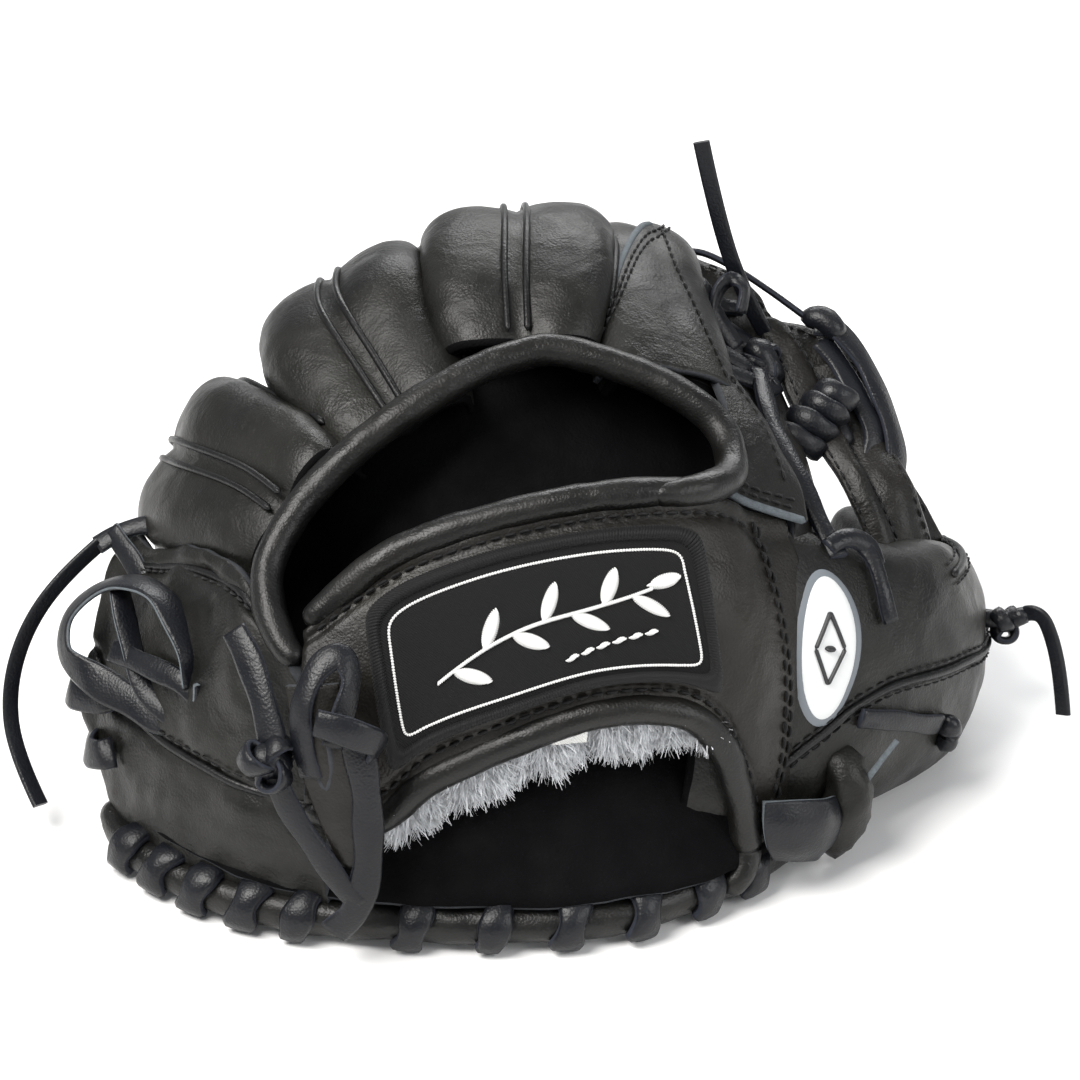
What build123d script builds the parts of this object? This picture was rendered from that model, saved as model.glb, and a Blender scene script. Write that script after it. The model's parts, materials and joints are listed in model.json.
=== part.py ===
from build123d import *
import math
import os

# A left-hand infield baseball glove, resting pocket down on its heel, thumb and little-finger edge.
# +X runs from the little finger to the thumb, +Y from the wrist to the fingertips, +Z up. Millimetres.

os.makedirs("parts", exist_ok=True)

# ---- driving dimensions -------------------------------------------------------------------------
SHIFT = (-4.4, -19.2, 0.0)  # moves the modelled glove so that its bounding box is centred over the origin

LEATHER = 3.0  # shell leather with its felt backing
LINING = 1.3  # soft inner leather
SLIP = 0.5  # air between two layers
PAD = 4.5  # felt in the palm
STRAP_WALL = 5.0  # folded strap leather with its foam
FLEECE = 7.0  # pile of the strap lining
ROLL_R = 3.6  # rolled leather binding round the openings
LACE_R = 1.9  # rawhide lace, as a round cord of the same section
WELT_R = 1.2  # piping in the finger seams
WELT_GAP = 5.0  # between the two welts of one seam
CHEEK_WALL = 4.5  # leather and felt over the little-finger side
WEB_WALL = 4.0  # two-ply web leather

# Thumb hinge: the crease that runs from the heel to the crotch, on the pocket side of the leather.
HINGE_LOW = Vector(63, -43, 6)
HINGE_HIGH = Vector(78, 17, 82)
SEAM_MID = Vector(60.5, -36, 82)
HINGE_GAP_DEG = 7.0  # wedge left open at the crease for the glove to open flat

# Little-finger hinge: under the palm from the heel to between the ring and little fingertips, and a
# point of the back between the two stalls.
FOLD_LOW = Vector(-62, -68, 4)
FOLD_HIGH = Vector(-80, 112, 20)
FOLD_BACK = Vector(-68, 25, 125)
FOLD_GAP = 0.5  # clearance on each side of the fold

exported = []


def finish(builder, name):
    """Labels a finished piece and writes it."""
    builder.part.label = name
    placed = builder.part.moved(Location(SHIFT))
    placed.label = name
    export_step(placed, f"parts/{name}.step")
    exported.append(name)


# ---- geometry helpers ---------------------------------------------------------------------------
def tangents(points):
    """Unit direction of a line of points at each point."""
    last = len(points) - 1
    return [(points[min(i + 1, last)] - points[max(i - 1, 0)]).normalized() for i in range(last + 1)]


def section_planes(back, outward, thickness):
    """Planes across a stall, each seated half a thickness under its back line, with +Y outward."""
    planes = []
    for point, direction, out, thick in zip(back, tangents(back), outward, thickness):
        normal = (out - direction * out.dot(direction)).normalized()
        centre = point - normal * (thick / 2)
        planes.append(Plane(origin=centre, x_dir=normal.cross(direction), z_dir=direction))
    return planes


def loft_tube(planes, width, thickness, inset, mode=Mode.ADD):
    """Lofts ellipses on the planes, each shrunk by inset all round."""
    sections = []
    for plane, wide, thick in zip(planes, width, thickness):
        with BuildSketch(plane) as section:
            Ellipse(wide / 2 - inset, thick / 2 - inset)
        sections.append(section.sketch)
    loft(sections, ruled=True, mode=mode)


def pushed_back(planes, distance):
    """The same planes with the first one moved backwards, so that a cut runs out of the open end."""
    first = planes[0]
    moved = Plane(origin=first.origin - first.z_dir * distance, x_dir=first.x_dir, z_dir=first.z_dir)
    return [moved, *planes[1:]]


def offset_profile(profile, distance):
    """A (y, z) profile moved sideways along its own normals, to the left of its direction."""
    last = len(profile) - 1
    moved = []
    for i, (y, z) in enumerate(profile):
        dy = profile[min(i + 1, last)][0] - profile[max(i - 1, 0)][0]
        dz = profile[min(i + 1, last)][1] - profile[max(i - 1, 0)][1]
        length = math.hypot(dy, dz)
        moved.append((y - dz / length * distance, z + dy / length * distance))
    return moved


def loft_sheet(sections, near, far):
    """Lofts a sheet along X: each section is (x, profile), and the sheet fills from near to far off it."""
    faces = []
    for x, profile in sections:
        low, high = offset_profile(profile, near), offset_profile(profile, far)
        with BuildSketch(Plane.YZ.offset(x)) as section:
            with BuildLine():
                first = Spline(*low)
                second = Spline(*high)
                Line(first @ 0, second @ 0)
                Line(first @ 1, second @ 1)
            make_face()
        faces.append(section.sketch)
    loft(faces, ruled=True)


def corner_radii(points):
    """The largest tangent arc that each corner of a route leaves room for."""
    radii = []
    for before, at, after in zip(points, points[1:], points[2:]):
        first, second = at - before, after - at
        half_turn = math.radians(first.get_angle(second)) / 2
        radii.append(0.45 * min(first.length, second.length) / math.tan(half_turn))
    return radii


def round_cord(points, radius):
    """A round cord along straight runs joined by tangent arcs."""
    route = [Vector(*p) for p in points]
    with BuildLine() as path:
        FilletPolyline(*route, radius=corner_radii(route))
    with BuildSketch(Plane(origin=path.line @ 0, z_dir=path.line % 0)) as section:
        Circle(radius)
    sweep(section.sketch, path=path.line)


def loft_strip(stations, thickness):
    """A flat strip through stations of (centre, normal, width)."""
    centres = [Vector(*s[0]) for s in stations]
    sections = []
    for centre, direction, station in zip(centres, tangents(centres), stations):
        face = Vector(*station[1])
        face = (face - direction * face.dot(direction)).normalized()
        with BuildSketch(Plane(origin=centre, x_dir=face.cross(direction), z_dir=direction)) as section:
            RectangleRounded(station[2], thickness, thickness * 0.3)
        sections.append(section.sketch)
    loft(sections)


def fold_plane(shift):
    """The plane through the little-finger hinge, +Z away from the little finger, moved along +Z."""
    normal = (FOLD_HIGH - FOLD_LOW).cross(FOLD_BACK - FOLD_LOW).normalized()
    if normal.X < 0:
        normal = normal * -1
    return Plane(origin=FOLD_LOW + normal * shift, z_dir=normal)


def hinge_plane(turn_deg):
    """The plane through the thumb hinge and the strap seam, turned about the hinge, +Z to the thumb."""
    along = (HINGE_HIGH - HINGE_LOW).normalized()
    normal = (SEAM_MID - HINGE_LOW).cross(along).normalized()
    if normal.X < 0:
        normal = normal * -1
    normal = normal.rotate(Axis(origin=(0, 0, 0), direction=along), turn_deg)
    return Plane(origin=HINGE_LOW, x_dir=along, z_dir=normal)


# ---- finger and thumb stalls --------------------------------------------------------------------
# Each stall: the line down its back from the knuckle to past the tip, the way its back faces, and its
# width and thickness at each point of the line.
STALLS = {
    "pinky": {
        "back": [(-78, -12, 107), (-89, 4, 104), (-104, 24, 97), (-109, 47, 86), (-108, 70, 68),
                 (-103, 89, 41), (-99, 98, 15), (-97, 100, 2.4)],
        "out": [(-0.7, -0.3, 0.65), (-0.8, -0.1, 0.6), (-0.86, 0, 0.5), (-0.88, 0.1, 0.45),
                (-0.86, 0.3, 0.4), (-0.8, 0.5, 0.3), (-0.75, 0.6, 0.2), (-0.75, 0.6, 0.2)],
        "width": [34, 40, 44, 44, 42, 38, 31, 18],
        "thick": [26, 28, 29, 28, 26, 23, 17, 8],
    },
    "ring": {
        "back": [(-38, 3, 122), (-48, 17, 131), (-59, 38, 137), (-61, 65, 133), (-60, 90, 117),
                 (-59, 109, 92), (-57, 118, 68), (-57, 120, 60)],
        "out": [(-0.35, -0.2, 0.9), (-0.45, 0, 0.9), (-0.5, 0, 0.86), (-0.5, 0.2, 0.83),
                (-0.5, 0.4, 0.75), (-0.48, 0.7, 0.5), (-0.45, 0.8, 0.3), (-0.45, 0.8, 0.3)],
        "width": [35, 39.2, 42.4, 42.2, 41.4, 38.6, 33, 20],
        "thick": [28, 30, 30, 29, 27, 24, 17, 8],
    },
    "middle": {
        "back": [(-7, 18, 141), (-7, 36, 152), (-7, 60, 155), (-8, 88, 144), (-10, 112, 120),
                 (-13, 128, 89), (-14, 133, 66), (-14, 133, 58)],
        "out": [(-0.05, -0.4, 0.9), (-0.05, 0, 1), (-0.05, 0, 1), (-0.05, 0.2, 1),
                (-0.07, 0.6, 0.8), (-0.08, 0.9, 0.4), (-0.08, 1, 0.1), (-0.08, 1, 0.1)],
        "width": [42, 46, 48, 47, 45, 41, 34, 20],
        "thick": [29, 31, 30, 29, 27, 24, 17, 8],
    },
    "index": {
        "back": [(43, 13, 126), (43, 33, 134), (42, 57, 138), (41, 82, 137), (38, 106, 125),
                 (34, 124, 104), (31, 132, 82), (31, 133, 74)],
        "out": [(0.3, -0.4, 0.87), (0.35, 0, 0.93), (0.35, 0, 0.93), (0.33, 0.15, 0.93),
                (0.3, 0.5, 0.8), (0.25, 0.85, 0.45), (0.2, 0.95, 0.2), (0.2, 0.95, 0.2)],
        "width": [34, 34, 34, 34, 34, 33, 29, 18],
        "thick": [28, 29, 29, 28, 27, 24, 17, 8],
    },
    "thumb": {
        "back": [(54, -47, 62), (84, -34, 54), (110, -16, 42), (127, 8, 36), (134, 36, 34),
                 (128, 62, 31), (116, 84, 27), (104, 98, 24), (99, 102, 23)],
        "out": [(0.4, -0.85, 0.35), (0.55, -0.78, 0.3), (0.8, -0.6, 0.1), (0.97, -0.2, 0.05),
                (1, 0.05, 0.03), (0.95, 0.3, 0), (0.85, 0.5, 0), (0.75, 0.65, 0), (0.75, 0.65, 0)],
        "width": [88, 82, 75, 69, 64, 57, 49, 40, 22],
        "thick": [30, 37, 39, 37, 34, 30, 26, 19, 9],
    },
}


def stall_shape(name):
    """Section planes, widths and thicknesses of one stall."""
    stall = STALLS[name]
    back = [Vector(*p) for p in stall["back"]]
    outward = [Vector(*p) for p in stall["out"]]
    return section_planes(back, outward, stall["thick"]), stall["width"], stall["thick"]


def trim_stall(name):
    """Keeps a stall on its own side of the folds."""
    if name == "thumb":
        split(bisect_by=hinge_plane(HINGE_GAP_DEG), keep=Keep.TOP)
    if name == "pinky":
        split(bisect_by=fold_plane(-FOLD_GAP), keep=Keep.BOTTOM)
    if name == "ring":
        split(bisect_by=fold_plane(FOLD_GAP), keep=Keep.TOP)


def welt_routes(name):
    """The two lines of piping down the back of a stall, either side of its centre seam."""
    planes, width, thick = stall_shape(name)
    routes = []
    for side in (-1, 1):
        route = []
        for plane, wide, deep in list(zip(planes, width, thick))[:-2]:
            x = side * WELT_GAP / 2
            y = deep / 2 * math.sqrt(1 - (2 * x / wide) ** 2)
            route.append(tuple(plane.from_local_coords((x, y, 0))))
        routes.append(route)
    return routes


def inner_tube(name, first, last, inset, wall):
    """A tube that fits inside a stall between two of its sections."""
    planes, width, thick = stall_shape(name)
    planes, width, thick = planes[first:last], width[first:last], thick[first:last]
    loft_tube(planes, width, thick, inset)
    loft_tube(pushed_back(planes, 0.01), width, thick, inset + wall, Mode.SUBTRACT)


for stall_name in STALLS:
    planes, width, thick = stall_shape(stall_name)
    with BuildPart() as stall:
        loft_tube(planes, width, thick, 0)
        loft_tube(pushed_back(planes, 1)[:-1], width, thick, LEATHER, Mode.SUBTRACT)
        trim_stall(stall_name)
    finish(stall, f"{stall_name}_stall")

    with BuildPart() as sleeve:
        loft_tube(planes[:-1], width, thick, LEATHER + SLIP)
        inset = LEATHER + SLIP + LINING
        loft_tube(pushed_back(planes, 1)[:-2], width, thick, inset, Mode.SUBTRACT)
        trim_stall(stall_name)
    finish(sleeve, f"{stall_name}_lining")

    if stall_name != "thumb":
        with BuildPart() as welts:
            for route in welt_routes(stall_name):
                round_cord(route, WELT_R)
        finish(welts, f"{stall_name}_welts")

LOOP_INSET = LEATHER + 2 * SLIP + LINING
for loop_name in ("pinky", "thumb"):
    with BuildPart() as finger_loop:
        inner_tube(loop_name, 2, 4, LOOP_INSET, 1.8)
    finish(finger_loop, f"{loop_name}_loop")

# Second layer of leather stitched over the back of the index stall.
with BuildPart() as index_overlay:
    planes, width, thick = stall_shape("index")
    loft_tube(planes[:4], width, thick, -2.6)
    loft_tube(pushed_back(planes[:5], 2), width, thick, -0.8, Mode.SUBTRACT)
    middle = planes[2]
    split(bisect_by=Plane(origin=middle.origin + middle.y_dir * 5, z_dir=middle.y_dir), keep=Keep.TOP)
finish(index_overlay, "index_overlay")

with BuildPart() as index_back_panel:
    loft_strip(
        [((58, -1, 105), (0.55, -0.6, 0.6), 16),
         ((66, 9, 99), (0.6, -0.5, 0.6), 20),
         ((75, 17, 89), (0.65, -0.45, 0.6), 14)],
        LEATHER,
    )
finish(index_back_panel, "index_back_panel")

# ---- palm ---------------------------------------------------------------------------------------
# The pocket face of the palm at planes of constant X, from the heel up to the finger roots.
PALM = [
    (-112, [(-36, 11), (-18, 20), (-4, 29), (8, 35), (18, 39)]),
    (-96, [(-55, 11), (-32, 26), (-12, 40), (2, 48), (14, 54)]),
    (-76, [(-63, 11), (-42, 33), (-20, 50), (-4, 59), (10, 65)]),
    (-44, [(-69, 10), (-48, 38), (-26, 60), (-8, 74), (6, 83)]),
    (-10, [(-71, 10), (-49, 42), (-26, 66), (0, 90), (26, 109)]),
    (24, [(-67, 10), (-45, 40), (-22, 63), (0, 84), (20, 99)]),
    (50, [(-52, 10), (-36, 36), (-17, 57), (0, 73), (16, 86)]),
    (64, [(-41, 12), (-28, 33), (-13, 50), (1, 64), (13, 76)]),
]


def at_x(sections, x):
    """One section of a sheet, worked out in proportion between its neighbours."""
    for (x0, p0), (x1, p1) in zip(sections, sections[1:]):
        if x0 <= x <= x1:
            t = (x - x0) / (x1 - x0)
            return x, [(a[0] + t * (b[0] - a[0]), a[1] + t * (b[1] - a[1])) for a, b in zip(p0, p1)]
    raise ValueError(f"{x} is off the sheet")


def between(sections, first_x, last_x):
    """The sections of a sheet from first_x to last_x."""
    inner = [s for s in sections if first_x < s[0] < last_x]
    return [at_x(sections, first_x), *inner, at_x(sections, last_x)]


def band(sections, low, high):
    """The sections of a sheet cut down to the part between two fractions of their height."""
    cut = []
    for x, profile in sections:
        last = len(profile) - 1
        shortened = []
        for i in range(4):
            at = (low + (high - low) * i / 3) * last
            j = min(int(at), last - 1)
            t = at - j
            shortened.append(tuple(a + t * (b - a) for a, b in zip(profile[j], profile[j + 1])))
        cut.append((x, shortened))
    return cut


PAD_FROM = LEATHER + SLIP
PAD_TO = PAD_FROM + PAD
for layer_name, near, far in (
    ("palm_shell", 0, LEATHER),
    ("palm_lining", PAD_TO + SLIP, PAD_TO + SLIP + LINING),
):
    with BuildPart() as layer:
        loft_sheet(PALM, near, far)
        split(bisect_by=fold_plane(FOLD_GAP), keep=Keep.TOP)
        split(bisect_by=hinge_plane(-1), keep=Keep.BOTTOM)
    finish(layer, layer_name)

    side = between(PALM, -112, -50)
    if layer_name == "palm_lining":
        side = band(between(PALM, -106, -50), 0.3, 1)
    with BuildPart() as layer:
        loft_sheet(side, near, far)
        split(bisect_by=fold_plane(-FOLD_GAP), keep=Keep.BOTTOM)
    finish(layer, f"pinky_{layer_name}")

with BuildPart() as pinky_heel_pad:
    loft_sheet(band(between(PALM, -106, -50), 0.3, 1), PAD_FROM, PAD_TO)
    split(bisect_by=fold_plane(-FOLD_GAP - 1), keep=Keep.BOTTOM)
finish(pinky_heel_pad, "pinky_heel_pad")

with BuildPart() as palm_pad:
    loft_sheet(between(PALM, -76, 33), PAD_FROM, PAD_TO)
    split(bisect_by=fold_plane(FOLD_GAP + 1), keep=Keep.TOP)
finish(palm_pad, "palm_pad")

with BuildPart() as thumb_heel_pad:
    loft_sheet(between(PALM, 34, 64), PAD_FROM, PAD_TO)
    split(bisect_by=hinge_plane(-2), keep=Keep.BOTTOM)
finish(thumb_heel_pad, "thumb_heel_pad")

# ---- little-finger side -------------------------------------------------------------------------
# The outer face of the cheek at planes of constant X, from the heel up.
CHEEK = [
    (-128, [(-17, 23), (-12, 30), (-6, 37), (0, 43), (5, 48)]),
    (-122, [(-31, 14), (-23, 26), (-13, 37), (-4, 46), (3, 53)]),
    (-114, [(-45, 11.5), (-39, 25), (-27, 39), (-15, 51), (-7, 59)]),
    (-104, [(-56, 11.5), (-52, 26), (-41, 43), (-28, 56), (-19, 65)]),
    (-92, [(-65, 11.5), (-63, 28), (-53, 48), (-41, 63), (-31, 74)]),
    (-80, [(-71, 11.5), (-70, 30), (-62, 53), (-50, 71), (-40, 84)]),
    (-58, [(-79, 11.5), (-78, 32), (-71, 58), (-61, 79), (-51, 94)]),
]
with BuildPart() as pinky_side_panel:
    loft_sheet(CHEEK, -CHEEK_WALL, 0)
    split(bisect_by=fold_plane(-FOLD_GAP), keep=Keep.BOTTOM)
finish(pinky_side_panel, "pinky_side_panel")

# ---- wrist strap --------------------------------------------------------------------------------
# The outer face of the strap at planes of constant X, from its lower edge to its upper edge.
STRAP = [
    (-60, [(-76, 46), (-72, 60), (-65, 74), (-57, 86)]),
    (-45, [(-76, 37), (-73, 60), (-64, 82), (-51, 101)]),
    (-30, [(-74, 49), (-70, 70), (-61, 90), (-48, 108)]),
    (-8, [(-72, 60), (-67, 78), (-58, 97), (-45, 114)]),
    (16, [(-68, 66), (-63, 82), (-54, 100), (-41, 117)]),
    (38, [(-62, 66), (-58, 81), (-49, 98), (-36, 116)]),
    (50, [(-60, 53), (-55, 74), (-44, 93), (-31, 111)]),
    (58, [(-57, 24), (-52, 54), (-41, 80), (-27, 104)]),
]
# Where the rolled lower edge turns down to the heel, round the thumb end of the wrist opening.
OPENING_END = [(45, -58.5, 50.5), (49.5, -59.5, 37), (51, -61.5, 25)]


def edge_route(sections, end, beyond):
    """A line beyond one edge of a sheet: end 0 is the lower edge, -1 the upper."""
    route = []
    for x, profile in sections:
        y, z = profile[end]
        y2, z2 = profile[1] if end == 0 else profile[-2]
        length = math.hypot(y - y2, z - z2)
        route.append((x, y + (y - y2) / length * beyond, z + (z - z2) / length * beyond))
    return route


def centred(sections, wall):
    """The sections moved to the middle of their wall."""
    return [(x, offset_profile(profile, -wall / 2)) for x, profile in sections]


with BuildPart() as wrist_strap:
    loft_sheet(STRAP, -STRAP_WALL, 0)
    split(bisect_by=hinge_plane(-1), keep=Keep.BOTTOM)
    split(bisect_by=fold_plane(FOLD_GAP), keep=Keep.TOP)
finish(wrist_strap, "wrist_strap")

with BuildPart() as strap_fleece:
    loft_sheet(STRAP[1:-1], -STRAP_WALL - SLIP - FLEECE, -STRAP_WALL - SLIP)
finish(strap_fleece, "strap_fleece")

STRAP_TOP = edge_route(centred(STRAP[1:-1], STRAP_WALL), -1, ROLL_R + 2.2)
STRAP_BOTTOM = edge_route(centred(STRAP[1:-2], STRAP_WALL), 0, ROLL_R + 2.2) + OPENING_END
for edge_name, edge_line in (("strap_top_binding", STRAP_TOP), ("strap_bottom_binding", STRAP_BOTTOM)):
    with BuildPart() as binding:
        round_cord(edge_line, ROLL_R)
    finish(binding, edge_name)

# ---- binding of the back hole -------------------------------------------------------------------
HOLE_RIM = [(52, -14, 103), (50, -5, 112), (42, 3, 121), (31, 7, 130), (17, 10, 135), (1, 11, 136.5),
            (-14, 8, 134.5), (-27, 0, 129), (-38, -8, 122), (-48, -16, 116), (-58, -25, 110)]
with BuildPart() as hole_binding:
    round_cord(HOLE_RIM, ROLL_R)
finish(hole_binding, "hole_binding")

PINKY_RIM = [(-70, -30, 104), (-75.5, -38, 99), (-76, -47, 92), (-70, -56, 87)]
with BuildPart() as pinky_hole_binding:
    round_cord(PINKY_RIM, ROLL_R)
finish(pinky_hole_binding, "pinky_hole_binding")

# ---- heel ---------------------------------------------------------------------------------------
HEEL_R = 4.5
HEEL_ROOT = [(-59, -77, 4.6), (-44, -78.5, 4.6), (-10, -80, 4.6), (20, -76.5, 4.6), (42, -65.5, 4.6),
             (60, -52, 4.6)]
HEEL_PINKY = [(-121, -29, 4.8), (-115, -42, 4.6), (-105, -54, 4.6), (-92, -63, 4.6), (-80, -69.5, 4.6),
              (-67.5, -74.5, 4.6)]
STITCH_ROOT = [(-52, 30, 200), (-40, -30, 200), (-24, -30, 200), (-8, -30, 200), (8, -30, 200),
               (24, -30, 200), (40, -30, 200)]
STITCH_PINKY = [(-112, -30, 40), (-100, -30, 40), (-88, -30, 40), (-76, -30, 40)]


def stitch(route, x, from_deg, to_deg):
    """One turn of whip stitch over a roll, between two angles measured up from the outside."""
    for start, end in zip(route, route[1:]):
        if start[0] <= x <= end[0]:
            t = (x - start[0]) / (end[0] - start[0])
            centre = Vector(*start) + (Vector(*end) - Vector(*start)) * t
            along = (Vector(*end) - Vector(*start)).normalized()
    outward = Vector(along.Y, -along.X, 0).normalized()
    ring = HEEL_R + 2 * SLIP + 1.3
    steps = max(3, round((to_deg - from_deg) / 40))
    points = []
    for i in range(steps + 1):
        angle = math.radians(from_deg + (to_deg - from_deg) * i / steps)
        slant = along * (i / steps - 0.5) * 4
        up = Vector(0, 0, ring * math.sin(angle))
        points.append(centre + outward * (ring * math.cos(angle)) + up + slant)
    round_cord([tuple(p) for p in points], 1.3)


with BuildPart() as heel_roll:
    round_cord(HEEL_ROOT, HEEL_R)
finish(heel_roll, "heel_roll")

with BuildPart() as pinky_heel_roll:
    round_cord(HEEL_PINKY, HEEL_R)
finish(pinky_heel_roll, "pinky_heel_roll")

with BuildPart() as heel_lace:
    for x, from_deg, to_deg in STITCH_ROOT:
        stitch(HEEL_ROOT, x, from_deg, to_deg)
finish(heel_lace, "heel_lace")

with BuildPart() as pinky_heel_lace:
    for x, from_deg, to_deg in STITCH_PINKY:
        stitch(HEEL_PINKY, x, from_deg, to_deg)
finish(pinky_heel_lace, "pinky_heel_lace")

# ---- badges -------------------------------------------------------------------------------------
with BuildPart() as patch_base:
    loft_sheet(band(between(STRAP, -40, 37), 0.30, 0.88), 1.3, 2.6)
finish(patch_base, "patch_base")

with BuildPart() as border_window:
    loft_sheet(band(between(STRAP, -40.5, 37.5), 0.29, 0.89), 0.3, 5.0)
with BuildPart() as patch_border:
    loft_sheet(band(between(STRAP, -45, 42), 0.21, 0.96), 1.3, 3.5)
    add(border_window.part, mode=Mode.SUBTRACT)
finish(patch_border, "patch_border")

with BuildPart() as patch_emblem:
    for i in range(5):
        x, profile = at_x(STRAP, -26 + 12 * i)
        low, high = Vector(x, *profile[1]), Vector(x, *profile[2])
        rise = (high - low).normalized()
        facing = Vector(0, -rise.Z, rise.Y)
        with BuildSketch(Plane(origin=low + rise * 10 + facing * 4.2, x_dir=(1, 0, 0), z_dir=facing)):
            with Locations(Location((0, 0), 40)):
                Ellipse(7.5, 2.6)
        extrude(amount=0.8)
finish(patch_emblem, "patch_emblem")

OVAL_AT = Vector(84.9, -31.3, 60.3)
OVAL_OUT = Vector(0.55, -0.78, 0.3)
OVAL_UP = Vector(0.09, 0.41, 0.91)
with BuildPart() as oval_patch:
    with BuildSketch(Plane(origin=OVAL_AT, x_dir=OVAL_UP, z_dir=OVAL_OUT)):
        Ellipse(20, 9)
    extrude(amount=1.6)
finish(oval_patch, "oval_patch")

with BuildPart() as oval_emblem:
    emblem_at = OVAL_AT + OVAL_OUT.normalized() * 1.9
    with BuildSketch(Plane(origin=emblem_at, x_dir=OVAL_UP, z_dir=OVAL_OUT)):
        RegularPolygon(6.5, 4)
        RegularPolygon(4.0, 4, mode=Mode.SUBTRACT)
    extrude(amount=0.6)
finish(oval_emblem, "oval_emblem")

with BuildPart() as size_tag:
    with Locations(Location((7, -77, 57), (-20, 0, 8))):
        Box(12, 0.8, 7)
finish(size_tag, "size_tag")

# ---- web ----------------------------------------------------------------------------------------
with BuildPart() as web_post:
    loft_strip(
        [((85, 24, 79), (0.5, -0.4, 0.77), 16),
         ((87, 38, 88), (0.5, -0.4, 0.77), 22),
         ((89, 54, 96), (0.5, -0.35, 0.8), 24),
         ((90, 69, 101), (0.5, -0.3, 0.8), 24)],
        WEB_WALL,
    )
finish(web_post, "web_post")

with BuildPart() as web_crossbar:
    loft_strip(
        [((56, 86, 121), (0.25, -0.3, 0.92), 16),
         ((72, 88, 115), (0.4, -0.3, 0.86), 20),
         ((90, 87, 105), (0.6, -0.3, 0.75), 22),
         ((105, 82, 87), (0.8, -0.3, 0.5), 20),
         ((112, 76, 69), (0.9, -0.3, 0.3), 16)],
        WEB_WALL + 1,
    )
finish(web_crossbar, "web_crossbar")

with BuildPart() as web_side_panel:
    loft_strip(
        [((102, 36, 74), (0.8, -0.2, 0.55), 11),
         ((106, 50, 78), (0.8, -0.2, 0.55), 14),
         ((109, 63, 78), (0.8, -0.2, 0.55), 14)],
        LEATHER,
    )
finish(web_side_panel, "web_side_panel")

INDEX_LACING = [(61, 30, 109), (69, 36, 104), (61, 44, 114), (71, 50, 107), (61, 58, 117),
                (70, 64, 110)]
THUMB_LACING = [(93, 28, 79), (99, 32, 74), (96, 42, 85), (103, 47, 88), (99, 56, 90), (104, 66, 87)]
with BuildPart() as web_lacing:
    for points in (INDEX_LACING, THUMB_LACING):
        round_cord(points, LACE_R)
finish(web_lacing, "web_lacing")

SPIRAL_FROM = Vector(80, 50, 101)
SPIRAL_TO = Vector(84, 69, 107)
with BuildPart() as web_spiral_lace:
    step = (SPIRAL_TO - SPIRAL_FROM) / 4
    for i in range(5):
        with Locations(Plane(origin=SPIRAL_FROM + step * i, z_dir=step)):
            Torus(4.2, 1.7)
finish(web_spiral_lace, "web_spiral_lace")

with BuildPart() as web_knot:
    with Locations(Plane(origin=(66, 72, 105), z_dir=(0.4, -0.6, 0.7))):
        Torus(4.6, 2.4)
    with Locations(Plane(origin=(66, 72, 105), z_dir=(0.7, 0.5, 0.5))):
        Torus(4.0, 2.2)
finish(web_knot, "web_knot")

# ---- laces --------------------------------------------------------------------------------------
LACE_LINES = {
    "fingertip_lace": [
        [(-62, 95, 56), (-49, 98.5, 59), (-31, 106, 61), (-12.5, 112, 62.5), (8, 113, 69),
         (26, 111.5, 76.5), (38, 108, 80)],
    ],
    "pinky_edge_lace": [
        [(-132, 6, 60), (-127, -7, 63), (-116, -19, 68), (-104, -28, 70), (-94, -41, 66)],
        [(-131, -10, 52), (-124, -20, 50), (-113, -31, 52), (-102, -38, 60)],
    ],
    "strap_lace": [
        [(-71, -86, 61), (-65, -87, 47), (-60, -88, 32), (-54, -89, 18), (-48, -90, 12)],
        [(-62, -84, 80), (-58, -86, 90), (-50, -86, 92), (-45, -88, 80), (-46, -90, 58),
         (-46, -91, 40), (-43, -93, 24)],
    ],
    "thumb_lace_loop": [
        [(66, -55, 31), (78, -52, 34), (92, -42, 28), (97, -38, 14), (84, -47, 6), (68, -56, 9)],
    ],
    "thumb_side_lace": [
        [(89, -42, 38), (100, -34, 35), (113, -22, 27), (126, -7, 22), (133, 9, 18)],
    ],
}
for lace_name, lines in LACE_LINES.items():
    with BuildPart() as lace:
        for points in lines:
            round_cord(points, LACE_R)
    finish(lace, lace_name)

with BuildPart() as pinky_edge_loops:
    for y, z in ((-22, 25), (-14, 35), (-6, 44)):
        round_cord([(-127, y - 6, z + 1), (-134, y - 3, z - 1), (-136, y + 5, z + 3)], LACE_R)
finish(pinky_edge_loops, "pinky_edge_loops")

with BuildPart() as strap_tab:
    with BuildSketch(Plane(origin=(-57, -81, 50), x_dir=(1, 0, 0), z_dir=(0, -1, 0))):
        RectangleRounded(13, 46, 5)
        with Locations((0, -12)):
            Circle(2.6, mode=Mode.SUBTRACT)
    extrude(amount=2.4)
finish(strap_tab, "strap_tab")

for knot_name, centre, tilt in (
    ("strap_knot", (-74, -87, 66), (0.5, 0.3, 0.8)),
    ("thumb_knot", (141, 33, 33), (0.2, 0.8, 0.5)),
):
    with BuildPart() as knot:
        with Locations(Plane(origin=centre, z_dir=tilt)):
            Torus(3.6, 2.1)
        with Locations(Plane(origin=centre, z_dir=(tilt[2], -tilt[0], tilt[1]))):
            Torus(3.0, 1.9)
    finish(knot, knot_name)

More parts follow.
